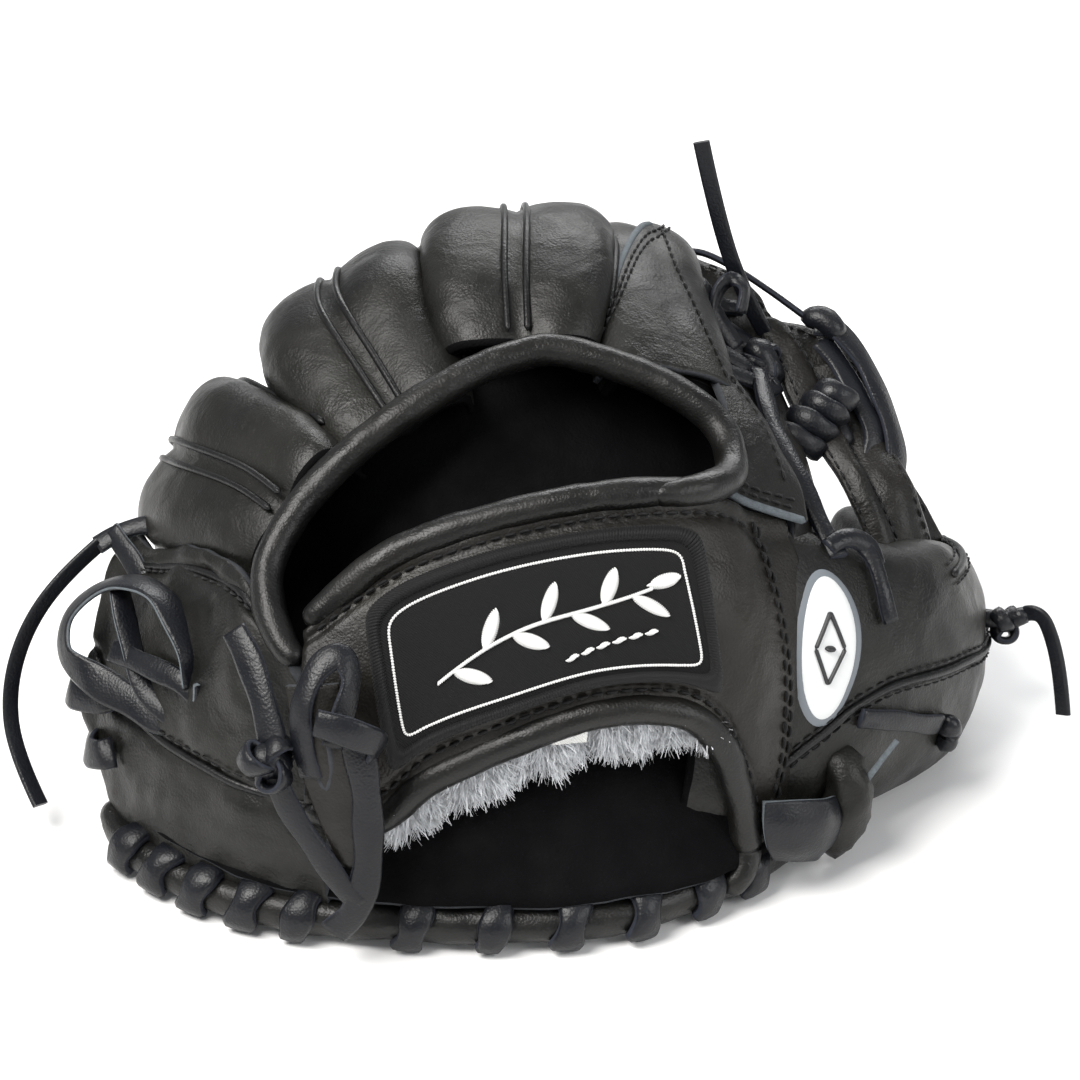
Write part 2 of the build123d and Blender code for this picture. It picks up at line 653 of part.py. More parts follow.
# ---- loose lace ends ----------------------------------------------------------------------------
TAILS = {
    "left_tail": [(-127, 12, 74), (-138, 7, 66), (-149, 0, 52), (-154, -8, 36), (-152, -17, 21),
                  (-144, -28, 10)],
    "top_tail": [(67, 72, 112), (59, 73, 127), (51.5, 75, 151), (47, 78, 171)],
    "right_tail": [(145.5, 31.5, 38.5), (149, 29, 41), (153, 26, 33), (156, 23, 20), (157, 20, 10)],
}
for tail_name, points in TAILS.items():
    with BuildPart() as tail:
        round_cord(points, LACE_R)
    finish(tail, tail_name)
    radii = [round(r, 1) for r in corner_radii([Vector(*p) for p in points])]
    print(tail_name, "bend radii", radii)

print("built", len(exported))
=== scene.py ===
import json
import math

import bmesh
import bpy
import numpy as np
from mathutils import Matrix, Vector, noise

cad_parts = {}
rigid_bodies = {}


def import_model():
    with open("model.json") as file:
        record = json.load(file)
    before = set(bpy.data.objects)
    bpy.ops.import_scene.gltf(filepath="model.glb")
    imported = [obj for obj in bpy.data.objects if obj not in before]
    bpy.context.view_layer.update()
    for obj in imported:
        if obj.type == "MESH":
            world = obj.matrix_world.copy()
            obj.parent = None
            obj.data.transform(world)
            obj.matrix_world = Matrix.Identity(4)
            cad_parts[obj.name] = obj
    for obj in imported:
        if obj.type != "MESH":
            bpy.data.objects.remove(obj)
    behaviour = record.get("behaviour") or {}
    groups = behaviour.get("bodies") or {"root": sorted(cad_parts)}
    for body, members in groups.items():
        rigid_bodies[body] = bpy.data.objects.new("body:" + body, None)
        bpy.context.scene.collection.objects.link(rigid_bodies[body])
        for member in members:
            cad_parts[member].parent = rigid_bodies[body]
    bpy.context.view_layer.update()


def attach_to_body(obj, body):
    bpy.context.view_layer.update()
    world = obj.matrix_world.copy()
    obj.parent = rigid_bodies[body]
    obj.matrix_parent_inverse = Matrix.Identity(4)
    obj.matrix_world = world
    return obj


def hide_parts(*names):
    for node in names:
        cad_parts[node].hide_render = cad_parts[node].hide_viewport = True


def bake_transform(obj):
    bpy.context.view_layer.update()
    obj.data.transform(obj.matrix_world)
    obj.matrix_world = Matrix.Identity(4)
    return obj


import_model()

RNG = np.random.default_rng(7)
noise.seed_set(7)  # without a seed Blender's vector noise starts from the clock

MM = 0.001
SHIFT = np.array((-4.4, -19.2, 0.0))  # from the drawing to the row frame
LACE_W = 5.0  # rawhide lace, width and thickness
LACE_T = 1.8
ROLL_R = 3.9  # rolled binding


def place(points):
    """Drawing points in row-frame metres."""
    return (np.asarray(points, float) + SHIFT) * MM


# ---- lines and surfaces ----
def unit(v):
    """Vectors scaled to length 1."""
    v = np.asarray(v, float)
    return v / np.maximum(np.linalg.norm(v, axis=-1, keepdims=True), 1e-9)


def sample(values, t):
    """Catmull-Rom values at t from 0 to 1 along the first axis of a table of control values."""
    p = np.asarray(values, float)
    p = np.concatenate(([2 * p[0] - p[1]], p, [2 * p[-1] - p[-2]]))
    u = np.clip(np.asarray(t, float), 0, 1) * (len(p) - 3)
    i = np.minimum(u.astype(int), len(p) - 4)
    f = (u - i).reshape(u.shape + (1,) * (p.ndim - 1))
    a, b, c, d = p[i], p[i + 1], p[i + 2], p[i + 3]
    return 0.5 * (2 * b + (c - a) * f + (2 * a - 5 * b + 4 * c - d) * f**2 + (3 * b - a - 3 * c + d) * f**3)

def distances(line):
    """Distance along a line at each of its points."""
    return np.concatenate(([0], np.cumsum(np.linalg.norm(np.diff(line, axis=0), axis=1))))


def pick(values, run, at):
    """Values at some distances, given the distance run at each of their rows."""
    return np.stack([np.interp(at, run, values[:, k]) for k in range(values.shape[1])], axis=1)


def evenly(points, count):
    """A smooth line through control points, with count points evenly spaced along it."""
    fine = sample(points, np.linspace(0, 1, 40 * len(points)))
    run = distances(fine)
    return pick(fine, run, np.linspace(0, run[-1], count))


def net(rows, columns, u=(0, 1), v=(0, 1), closed=False):
    """Positions u and v of a grid on a surface; closed leaves out the last column, where v comes round."""
    return np.meshgrid(np.linspace(*u, rows), np.linspace(*v, columns, endpoint=not closed), indexing="ij")


def signed_power(values, power):
    """A power that keeps the sign, for rounded squares."""
    return np.sign(values) * np.abs(values) ** power


def spans(t, count):
    """For each t from 0 to 1 along count control points: the first of its four points, and their weights."""
    u = np.clip(np.asarray(t, float), 0, 1) * (count - 1)
    i = np.minimum(u.astype(int), count - 2)
    f = u - i
    weights = np.stack((-f + 2 * f**2 - f**3, 2 - 5 * f**2 + 3 * f**3, f + 4 * f**2 - 3 * f**3,
                        f**3 - f**2), -1)
    return i, weights / 2


class Sheet:
    """A smooth surface through a net of control points: u along its rows, v across them."""

    def __init__(self, rows):
        p = np.asarray(rows, float)
        p = np.concatenate(([2 * p[0] - p[1]], p, [2 * p[-1] - p[-2]]))
        first, last = 2 * p[:, :1] - p[:, 1:2], 2 * p[:, -1:] - p[:, -2:-1]
        self.net = np.concatenate((first, p, last), axis=1)

    def flat(self, u, v):
        """Points without lift, for arrays u and v of one shape."""
        i, across = spans(u, self.net.shape[0] - 2)
        j, along = spans(v, self.net.shape[1] - 2)
        points = np.zeros(np.shape(u) + (3,))
        for k in range(4):
            for m in range(4):
                points += self.net[i + k, j + m] * (across[..., k] * along[..., m])[..., None]
        return points

    def normal(self, u, v):
        """Outward normals."""
        e = 0.004
        du = self.flat(np.clip(u + e, 0, 1), v) - self.flat(np.clip(u - e, 0, 1), v)
        dv = self.flat(u, np.clip(v + e, 0, 1)) - self.flat(u, np.clip(v - e, 0, 1))
        return unit(np.cross(du, dv))

    def at(self, u, v, lift=0.0):
        """Points on the surface raised by lift."""
        u, v = np.broadcast_arrays(np.asarray(u, float), np.asarray(v, float))
        return self.flat(u, v) + self.normal(u, v) * (np.zeros(u.shape) + lift)[..., None]


TIP_START = 0.86  # where a stall's end starts to round off


class Stall:
    """A finger tube: s from 0 at its mouth to 1 at its tip, a round it in degrees, 90 on its back."""

    def __init__(self, back, out, width, thick, puff=2.4, groove=1.6, power=2.5):
        self.back = np.array(back, float)
        self.out = np.array(out, float)
        self.size = np.array([width, thick], float).T
        self.puff = puff
        self.groove = groove
        self.power = power

    def frame_at(self, s):
        """Centre, direction across, direction out and half sizes at s."""
        back = sample(self.back, s)
        along = unit(sample(self.back, s + 0.01) - sample(self.back, s - 0.01))
        out = sample(self.out, s)
        out = unit(out - along * np.sum(out * along, axis=-1, keepdims=True))
        half = sample(self.size, s) / 2
        centre = back - out * half[..., 1:2]
        return centre, unit(np.cross(out, along)), out, half

    def at(self, s, a, lift=0.0):
        """Points on the stall raised by lift."""
        s, a = np.broadcast_arrays(np.asarray(s, float), np.asarray(a, float))
        centre, across, out, half = self.frame_at(s)
        angle = np.radians(a)
        x = signed_power(np.cos(angle), 2 / self.power)
        y = signed_power(np.sin(angle), 2 / self.power)
        seams = np.abs(np.sin(2 * angle)) ** 0.55
        on_back = np.clip(np.sin(angle) * 3, 0, 1)
        bulge = on_back * (self.puff * seams - self.groove * (1 - seams))
        tip = np.sqrt(1 - np.clip((s - TIP_START) / (1 - TIP_START), 0, 1) ** 2)
        grow = (np.asarray(lift) + bulge)[..., None]
        x = x[..., None] * (half[..., 0:1] + grow) * tip[..., None]
        y = y[..., None] * (half[..., 1:2] + grow) * tip[..., None]
        return centre + across * x + out * y


# ---- materials ----
class Look:
    """A principled material, with short ways to put textures on it."""

    def __init__(self, name, colour, roughness, sheen=0.0, coat=0.0, specular=0.5):
        self.material = bpy.data.materials.new(name)
        self.material.use_nodes = True
        self.tree = self.material.node_tree
        self.shader = self.tree.nodes["Principled BSDF"]
        settings = {"Base Color": (*colour, 1), "Roughness": roughness, "Sheen Weight": sheen,
                    "Coat Weight": coat,
                    "Coat Roughness": 0.35, "Specular IOR Level": specular}
        for key, value in settings.items():
            self.shader.inputs[key].default_value = value

    def texture(self, kind, scale, output="Fac", **settings):
        """Output of a texture in object coordinates, scaled per metre."""
        coordinates = self.tree.nodes.new("ShaderNodeTexCoord")
        node = self.tree.nodes.new(f"ShaderNodeTex{kind}")
        self.tree.links.new(coordinates.outputs["Object"], node.inputs["Vector"])
        node.inputs["Scale"].default_value = scale
        for key, value in settings.items():
            if key in node.inputs:
                node.inputs[key].default_value = value
            else:
                setattr(node, key, value)
        return node.outputs[output]

    def ramp(self, source, target, *stops):
        """A colour ramp from a texture into a shader input; stops are (position, colour)."""
        node = self.tree.nodes.new("ShaderNodeValToRGB")
        for element, (position, colour) in zip(node.color_ramp.elements, stops):
            element.position = position
            element.color = (*colour, 1)
        self.tree.links.new(source, node.inputs["Fac"])
        self.tree.links.new(node.outputs["Color"], self.shader.inputs[target])

    def bumps(self, *layers):
        """Puts on bump layers (texture, strength, distance in metres) and returns the material."""
        previous = None
        for source, strength, distance in layers:
            node = self.tree.nodes.new("ShaderNodeBump")
            node.inputs["Strength"].default_value = strength
            node.inputs["Distance"].default_value = distance
            self.tree.links.new(source, node.inputs["Height"])
            if previous:
                self.tree.links.new(previous.outputs["Normal"], node.inputs["Normal"])
            previous = node
        self.tree.links.new(previous.outputs["Normal"], self.shader.inputs["Normal"])
        return self.material


def shade(colour, part):
    """A darker colour."""
    return tuple(c * part for c in colour)


def leather(name, dark, light, roughness=0.42, crease=1.0, coat=0.06, specular=0.3):
    """Full-grain leather: pebbled grain, drawn creases, worn lighter patches and uneven shine."""
    look = Look(name, dark, roughness, coat=coat, specular=specular)
    patches = look.texture("Noise", 28, Detail=5.0, Roughness=0.6)
    look.ramp(patches, "Base Color", (0.35, dark), (0.72, light))
    shine = look.texture("Noise", 90, Detail=4.0)
    look.ramp(shine, "Roughness", (0.3, (roughness - 0.08,) * 3), (0.7, (roughness + 0.12,) * 3))
    pebbles = look.texture("Voronoi", 1500, "Distance", feature="SMOOTH_F1")
    wrinkles = look.texture("Noise", 160, Detail=8.0, Roughness=0.68, Distortion=0.8)
    folds = look.texture("Noise", 42, Detail=3.0, Distortion=1.4)
    return look.bumps((folds, 0.26 * crease, 0.004), (wrinkles, 0.3 * crease, 0.0011),
                      (pebbles, 0.5, 0.00025))


def raw_edge(name, colour):
    """Cut leather edge: matt, fibrous and uneven in colour."""
    look = Look(name, colour, 0.85)
    fibres = look.texture("Noise", 900, Detail=4.0, Roughness=0.7)
    look.ramp(fibres, "Base Color", (0.3, shade(colour, 0.6)), (0.65, colour))
    return look.bumps((fibres, 0.7, 0.0004))


def thread(name, colour, roughness=0.55):
    """Waxed or embroidery thread, with a fine twist."""
    look = Look(name, colour, roughness, sheen=0.05, specular=0.3)
    return look.bumps((look.texture("Wave", 1400, Distortion=1.0), 0.5, 0.00015))


def twill(name, colour):
    """Tightly woven cloth with a diagonal rib."""
    look = Look(name, colour, 0.8, sheen=0.05, specular=0.25)
    ribs = look.texture("Wave", 620, Distortion=0.6, bands_direction="DIAGONAL")
    weave = look.texture("Noise", 1500, Detail=3.0)
    return look.bumps((ribs, 0.7, 0.0003), (weave, 0.4, 0.0002))


def plush(name, colour):
    """Curly pile, lighter at its tips."""
    look = Look(name, colour, 0.95, sheen=0.8)
    pile = look.texture("Noise", 260, Detail=5.0)
    look.ramp(pile, "Base Color", (0.3, shade(colour, 0.55)), (0.65, colour))
    return look.material


def plain(name, colour, roughness):
    """Moulded rubber or print with a faint texture."""
    look = Look(name, colour, roughness)
    return look.bumps((look.texture("Noise", 700, Detail=3.0), 0.5, 0.0001))


SHELL = leather("shell_leather", (0.0036, 0.0037, 0.0032), (0.0115, 0.0112, 0.0090))
STRAP_SKIN = leather("strap_leather", (0.0044, 0.0040, 0.0033), (0.0145, 0.0122, 0.0088), 0.40)
ROLLED = leather("binding_leather", (0.0035, 0.0035, 0.0035), (0.0085, 0.0080, 0.0070), 0.38, 0.7, 0.12)
WEB_SKIN = leather("web_leather", (0.0036, 0.0034, 0.0030), (0.0095, 0.0080, 0.0062))
LINING = leather("lining_leather", (0.0010, 0.0010, 0.0014), (0.0022, 0.0022, 0.0028), 0.75, coat=0.0,
                 specular=0.08)
LACE = leather("lace_leather", (0.0026, 0.0031, 0.0052), (0.0070, 0.0078, 0.0105), 0.38, 0.4, 0.12)
WELT = leather("welt_leather", (0.0018, 0.0018, 0.0022), (0.0038, 0.0038, 0.0042), 0.4, 0.3)
RAW = raw_edge("raw_edge", (0.115, 0.135, 0.15))
LACE_CUT = raw_edge("lace_cut_edge", (0.013, 0.016, 0.028))
RAW_DARK = raw_edge("raw_edge_dark", (0.03, 0.034, 0.04))
BLACK_THREAD = thread("black_thread", (0.0025, 0.0025, 0.003), 0.6)
GREY_THREAD = thread("grey_thread", (0.006, 0.006, 0.0065), 0.5)
WHITE_THREAD = thread("patch_thread", (0.78, 0.78, 0.77))
TWILL = twill("patch_twill", (0.0045, 0.0045, 0.005))
FLEECE = plush("fleece", (0.80, 0.82, 0.85))
BADGE_WHITE = plain("badge_rubber", (0.72, 0.73, 0.73), 0.5)
BADGE_RIM = plain("badge_rim", (0.16, 0.18, 0.2), 0.6)
BADGE_PRINT = plain("badge_print", (0.02, 0.02, 0.022), 0.5)
TAG_CLOTH = twill("tag_fabric", (0.74, 0.74, 0.72))


# ---- meshes ----
def mesh(points, faces, material, edge=None, edge_faces=()):
    """A smooth-shaded part from drawing points; edge_faces take the second material."""
    data = bpy.data.meshes.new("part")
    corners = place(points).reshape(-1, 3)
    data.from_pydata([tuple(p) for p in corners], [], [tuple(int(i) for i in f) for f in faces])
    data.materials.append(material)
    if edge:
        data.materials.append(edge)
        chosen = set(edge_faces)
        for polygon in data.polygons:
            polygon.material_index = 1 if polygon.index in chosen else 0
    shape = bmesh.new()
    shape.from_mesh(data)
    bmesh.ops.recalc_face_normals(shape, faces=shape.faces)
    shape.to_mesh(data)
    shape.free()
    data.polygons.foreach_set("use_smooth", [True] * len(data.polygons))
    obj = bpy.data.objects.new("part", data)
    bpy.context.scene.collection.objects.link(obj)
    return obj


def grid_faces(rows, columns, closed=False, offset=0):
    """Quads of a grid; closed joins the last column to the first."""
    r, c = np.meshgrid(np.arange(rows - 1), np.arange(columns if closed else columns - 1), indexing="ij")
    n = (c + 1) % columns
    quads = np.stack((r * columns + c, r * columns + n, (r + 1) * columns + n, (r + 1) * columns + c), -1)
    return (quads.reshape(-1, 4) + offset).tolist()


def cap(ring, sides, offset=0):
    """The polygon that closes a tube at one of its rings."""
    return [offset + ring * sides + k for k in range(sides)]


def crumple(points, size, height, seed=0):
    """Moves points a little by noise, for soft hand-worn leather."""
    moved = np.array(points, float)
    flat = moved.reshape(-1, 3)
    for i, p in enumerate(flat):
        q = Vector(p / size) + Vector((seed, seed * 0.7, seed * 1.3))
        flat[i] = p + np.array(noise.turbulence_vector(q, 3, False)) * height
    return moved


def slab(front, back, material, edge=None, wear=0.0, seed=0):
    """A closed sheet between two grids of one shape, its rim in the edge material."""
    if wear:
        bend = crumple(front, 26, wear, seed) - front
        front, back = front + bend, back + bend
    rows, columns = front.shape[:2]
    ring = [(0, c) for c in range(columns)] + [(r, columns - 1) for r in range(1, rows)]
    ring += [(rows - 1, c) for c in range(columns - 2, -1, -1)] + [(r, 0) for r in range(rows - 2, 0, -1)]
    count, size = rows * columns, len(ring)
    middle = np.array([(front[k] + back[k]) / 2 for k in ring])
    inward = np.array([front[k] for k in ring]).mean(0)
    bulge = unit(middle - inward) * 0.25
    points = np.concatenate((front.reshape(-1, 3), back.reshape(-1, 3), middle + bulge))
    faces = grid_faces(rows, columns) + grid_faces(rows, columns, offset=count)
    first_edge = len(faces)
    index = [r * columns + c for r, c in ring]
    for i in range(size):
        j = (i + 1) % size
        faces.append([index[i], index[j], 2 * count + j, 2 * count + i])
        faces.append([2 * count + i, 2 * count + j, count + index[j], count + index[i]])
    return mesh(points, faces, material, edge, range(first_edge, len(faces)))


def frames(line, facing):
    """Side and face directions of a ribbon along a line; facing is one vector or one per point."""
    along = unit(np.gradient(line, axis=0))
    face = np.broadcast_to(np.asarray(facing, float), line.shape)
    face = unit(face - along * np.sum(face * along, axis=1, keepdims=True))
    return along, np.cross(face, along), face


def ribbon(points, facing, width=LACE_W, thickness=LACE_T, edge=LACE_CUT, material=LACE, count=None,
           wave=0.25):
    """A flat lace with rounded faces and raw edges. facing can be a list, one per control point."""
    points = np.asarray(points, float)
    count = count or max(12, int(distances(points)[-1] / 1.1))
    line = evenly(points, count)
    facing = np.asarray(facing, float)
    if facing.ndim == 2:
        facing = sample(facing, np.linspace(0, 1, count))
    along, side, face = frames(line, facing)
    profile = [(-0.5, -0.2), (-0.5, 0.2), (-0.4, 0.48), (0, 0.55), (0.4, 0.48), (0.5, 0.2), (0.5, -0.2),
               (0.4, -0.48), (0, -0.55), (-0.4, -0.48)]
    narrow_sides = (0, 5)
    wobble = 1 + wave * 0.25 * np.sin(np.arange(count) * 0.37 + RNG.uniform(0, 6))
    rings = [line + side * (x * width * wobble)[:, None] + face * (y * thickness) for x, y in profile]
    sides = len(profile)
    faces = grid_faces(count, sides, closed=True)
    edge_faces = [i for i in range(len(faces)) if i % sides in narrow_sides]
    corners = np.concatenate((np.stack(rings, axis=1).reshape(-1, 3), line[:1], line[-1:]))
    start, end = count * sides, count * sides + 1
    for k in range(sides):
        edge_faces += [len(faces), len(faces) + 1]
        faces.append([start, k, (k + 1) % sides])
        faces.append([end, (count - 1) * sides + (k + 1) % sides, (count - 1) * sides + k])
    return mesh(corners, faces, material, edge, edge_faces)


def tube(points, radius, material, sides=14, count=None, flatten=1.0, facing=(0, 0, 1), wear=0.0):
    """A round or oval roll through control points, with rounded ends. radius can be a list."""
    points = np.asarray(points, float)
    length = distances(points)[-1]
    count = count or max(10, int(length / 1.5))
    line = evenly(points, count)
    along, side, face = frames(line, facing)
    if np.ndim(radius):
        radius = sample(np.asarray(radius, float)[:, None], np.linspace(0, 1, count))[:, 0]
    run = np.linspace(0, length, count)
    size = np.broadcast_to(radius, (count,)).astype(float)
    to_end = np.minimum(run, length - run)
    rounding = np.sqrt(np.clip(1 - (1 - to_end / size) ** 2, 0.02, 1))
    size = size * np.where(to_end < size, rounding, 1)
    angles = np.linspace(0, 2 * math.pi, sides, endpoint=False)
    grid = np.stack(
        [line + side * (size * math.cos(a))[:, None] + face * (size * flatten * math.sin(a))[:, None]
         for a in angles], axis=1)
    if wear:
        grid = crumple(grid, 9, wear)
    faces = grid_faces(count, sides, closed=True) + [cap(0, sides), cap(count - 1, sides)]
    return mesh(grid, faces, material)


def threads(starts, ends, normals, radius, material, arch=0.5):
    """Many short stitches, each arched off the surface between its two holes."""
    steps, sides = 6, 6
    t = np.linspace(0, 1, steps)
    rise = np.sin(t * math.pi) ** 0.6
    thick = 0.55 + 0.45 * rise
    side = unit(np.cross(unit(ends - starts), normals))
    points, faces = [], []
    for i in range(len(starts)):
        centre = starts[i] + (ends[i] - starts[i]) * t[:, None] + normals[i] * (rise * arch - 0.15)[:, None]
        base = i * steps * sides
        ring = []
        for k in range(sides):
            a = 2 * math.pi * k / sides
            spoke = side[i] * math.cos(a) + normals[i] * math.sin(a)
            ring.append(centre + spoke * (radius * thick)[:, None])
        points.append(np.stack(ring, axis=1).reshape(-1, 3))
        faces += grid_faces(steps, sides, closed=True, offset=base)
        faces += [cap(0, sides, base), cap(steps - 1, sides, base)]
    return mesh(np.concatenate(points), faces, material)


def seam(surface, u, v, lift, material, stitch=3.2, gap=1.1, radius=0.42):
    """A row of stitches along the line u, v on a surface, which is a function of u, v and lift."""
    line = surface(u, v, lift)
    normals = unit(surface(u, v, lift + 1.0) - line)
    run = distances(line)
    first = np.arange(int(run[-1] / (stitch + gap))) * (stitch + gap) + gap / 2
    starts, ends = pick(line, run, first), pick(line, run, first + stitch)
    return threads(starts, ends, unit(pick(normals, run, first)), radius, material)


def pipe(line, radius):
    """A rolled welt along a line."""
    return tube(line, radius, WELT, sides=10)


# Where a piece bends from the palm to another body: that body, and the bend's start and end.
FOLDS = {
    "thumb_fold": ("thumb", place((55, -38, 40)), place((74, -30, 40))),
    "pinky_fold": ("pinky", place((-60, -50, 60)), place((-76, -50, 60))),
    "web": ("thumb", place((72, 60, 100)), place((116, 60, 66))),
}


def attach(name, parts, where, *nodes, slot=None):
    """Joins parts into a piece that rides on a body, or stays in place with no parent where it lies over a
    fold, and stands for CAD nodes.

    slot is not used.
    """
    piece = parts[0]
    if len(parts) > 1:
        with bpy.context.temp_override(active_object=piece, object=piece, selected_editable_objects=parts):
            bpy.ops.object.join()
    piece.name = name
    piece.data.name = name
    if nodes:
        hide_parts(*nodes)
    if where in FOLDS:
        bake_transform(piece)
    else:
        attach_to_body(piece, where)
    return piece


# ---- finger and thumb stalls ----
STALLS = {
    "pinky": Stall(
        [(-70, -26, 107), (-84, -6, 106), (-103, 20, 99), (-110, 45, 87), (-109, 70, 68),
         (-103, 89, 41), (-98, 98, 15), (-97, 100, 4)],
        [(-0.7, -0.3, 0.65), (-0.8, -0.1, 0.6), (-0.86, 0, 0.5), (-0.88, 0.1, 0.45),
         (-0.86, 0.3, 0.4), (-0.8, 0.5, 0.3), (-0.75, 0.6, 0.2), (-0.75, 0.6, 0.2)],
        [44, 50, 54, 53, 50, 44, 35, 24], [24, 27, 29, 28, 26, 23, 17, 10]),
    "ring": Stall(
        [(-36, -6, 120), (-48, 14, 130), (-60, 38, 138), (-62, 65, 134), (-61, 90, 117),
         (-59, 109, 92), (-57, 118, 68), (-57, 120, 58)],
        [(-0.35, -0.3, 0.88), (-0.45, 0, 0.9), (-0.5, 0, 0.86), (-0.5, 0.2, 0.83),
         (-0.5, 0.4, 0.75), (-0.48, 0.7, 0.5), (-0.45, 0.8, 0.3), (-0.45, 0.8, 0.3)],
        [42, 50, 54, 54, 51, 46, 37, 25], [26, 29, 30, 29, 27, 24, 17, 10]),
    "middle": Stall(
        [(-6, 10, 138), (-7, 33, 151), (-7, 60, 155), (-8, 88, 145), (-10, 112, 120),
         (-13, 128, 89), (-14, 133, 66), (-14, 133, 57)],
        [(-0.05, -0.45, 0.9), (-0.05, 0, 1), (-0.05, 0, 1), (-0.05, 0.2, 1),
         (-0.07, 0.6, 0.8), (-0.08, 0.9, 0.4), (-0.08, 1, 0.1), (-0.08, 1, 0.1)],
        [46, 53, 56, 55, 51, 46, 37, 25], [27, 30, 30, 29, 27, 24, 17, 10]),
    "index": Stall(
        [(39, 2, 124), (37.5, 30, 134.5), (34, 57, 140), (32, 82, 140), (29, 106, 128),
         (27, 124, 105), (26, 132, 83), (26, 133, 74)],
        [(0.3, -0.45, 0.87), (0.35, 0, 0.93), (0.35, 0, 0.93), (0.33, 0.15, 0.93),
         (0.3, 0.5, 0.8), (0.25, 0.85, 0.45), (0.2, 0.95, 0.2), (0.2, 0.95, 0.2)],
        [39, 38, 34, 33, 33, 31, 27, 20], [26, 29, 30, 28, 27, 24, 17, 10], puff=0.9, groove=0.0),
    "thumb": Stall(
        [(44, -50, 64), (62, -44, 60), (84, -34, 54), (110, -16, 42.4), (127, 8, 36.5), (134, 36, 30.6),
         (128, 62, 27), (116, 84, 24), (103, 98, 22), (98, 102, 21)],
        [(0.3, -0.9, 0.35), (0.45, -0.82, 0.33), (0.55, -0.78, 0.3), (0.8, -0.6, 0.1),
         (0.97, -0.2, 0.05), (1, 0.05, 0.03), (0.95, 0.3, 0), (0.85, 0.5, 0), (0.75, 0.65, 0),
         (0.75, 0.65, 0)],
        [86, 88, 83, 76, 70, 57, 48, 42, 36, 26], [18, 26, 36, 39, 37, 34, 30, 26, 20, 12],
        puff=0.6, groove=0.0, power=2.15),
}
MOUTH_SLANT = 0.17  # how much further back a finger stall starts on its palm side
MOUTH_START = {"index": 0.05, "thumb": 0.0}  # where a stall's back starts; 0.015 if it isn't named here


def from_mouth(name, t, a):
    """Positions along a finger stall from its slanting mouth; the thumb's mouth is straight."""
    slant = MOUTH_SLANT if name != "thumb" else 0.0
    start = MOUTH_START.get(name, 0.015) + slant * np.clip(-np.sin(np.radians(a)), 0, 1)
    return start + (1 - start) * t


def stall_shell(name, stall, rings=110, sides=96):
    """Shell leather of one stall, hollow, tucked in under the binding at its mouth."""
    t, a = net(rings, sides, v=(0, 360), closed=True)
    outer = crumple(stall.at(from_mouth(name, t, a), a, -2.6 * np.exp(-t / 0.03)), 24, 0.9, len(name))
    deep = np.linspace(0, 0.5, 30)
    inner_t, inner_a = np.meshgrid(deep[::-1], a[0], indexing="ij")
    inner = stall.at(from_mouth(name, inner_t, inner_a), inner_a, -2.6 - 2.0 * np.exp(-inner_t / 0.03))
    points = np.concatenate((inner, outer))
    faces = grid_faces(len(points), sides, closed=True) + [cap(len(points) - 1, sides)]
    return mesh(points, faces, SHELL, LINING, range((len(deep) + 1) * sides))


def stall_sleeve(name, stall, rings=50, sides=48):
    """Soft lining of one stall, a little wrinkled."""
    t, a = net(rings, sides, (0.03, 0.86), (0, 360), closed=True)
    points = crumple(stall.at(from_mouth(name, t, a), a, -4.2), 12, 0.7)
    return mesh(points, grid_faces(rings, sides, closed=True) + [cap(rings - 1, sides)], LINING)


def stall_pipes(stall, angles, first, lift, radius):
    """Piping down a stall at some angles, from first to just short of its rounded tip."""
    s = np.linspace(first, 0.93, 60)
    return [pipe(stall.at(s, angle, lift), radius) for angle in angles]


FINGER_BODY = {"pinky": "pinky", "ring": "palm", "middle": "palm", "index": "palm", "thumb": "thumb_fold"}
for finger, stall in STALLS.items():
    attach(f"{finger}_shell", [stall_shell(finger, stall)], FINGER_BODY[finger], f"{finger}_stall")
    attach(f"{finger}_sleeve", [stall_sleeve(finger, stall)], FINGER_BODY[finger], f"{finger}_lining")

# Two rows of piping down the seam of each finger's back, and one down each side.
for finger in ("pinky", "ring", "middle"):
    pipes = stall_pipes(STALLS[finger], (86.2, 93.8), 0.03, 0.5, 1.0)
    pipes += stall_pipes(STALLS[finger], (10, 170), 0.10, 0.4, 1.2)
    attach(f"{finger}_piping", pipes, FINGER_BODY[finger], f"{finger}_welts")
index = STALLS["index"]
attach("index_piping", stall_pipes(index, (14, 166), 0.12, 0.4, 1.4), "palm", "index_welts")


def overlay_edge(s):
    """Angle of the second layer's free edge, which slants across the index stall's back."""
    return 10 + 82 * np.clip((s - 0.11) / 0.33, 0, 1) ** 0.7


# Second layer over the index stall: a triangle with a curved raw edge, stitched twice along it and
# once down its middle.
OVERLAY_BACK = 166  # angle of the layer's sewn edge
s, t = net(60, 40, (0.055, 0.5))
a = overlay_edge(s) + (OVERLAY_BACK - overlay_edge(s)) * t
overlay = slab(index.at(s, a, 2.4), index.at(s, a, 0.4), SHELL, RAW_DARK)
s = np.linspace(0.10, 0.46, 120)
cut = tube(index.at(s, overlay_edge(s) - 1.5, 2.0)[::5], 1.1, RAW, sides=8)
attach("index_second_layer", [overlay, cut], "palm", "index_overlay")
rows = [seam(index.at, s, overlay_edge(s) + inset, 2.5, BLACK_THREAD, 2.8, 1.0, 0.4) for inset in (7, 12)]
s = np.linspace(0.065, 0.42, 120)
a = sample([[128], [112], [105], [100], [97], [95]], np.linspace(0, 1, 120))[:, 0]
rows.append(seam(index.at, s, a, 2.5, BLACK_THREAD, 2.8, 1.0, 0.4))
attach("index_stitching", rows, "palm", slot="shell_leather")

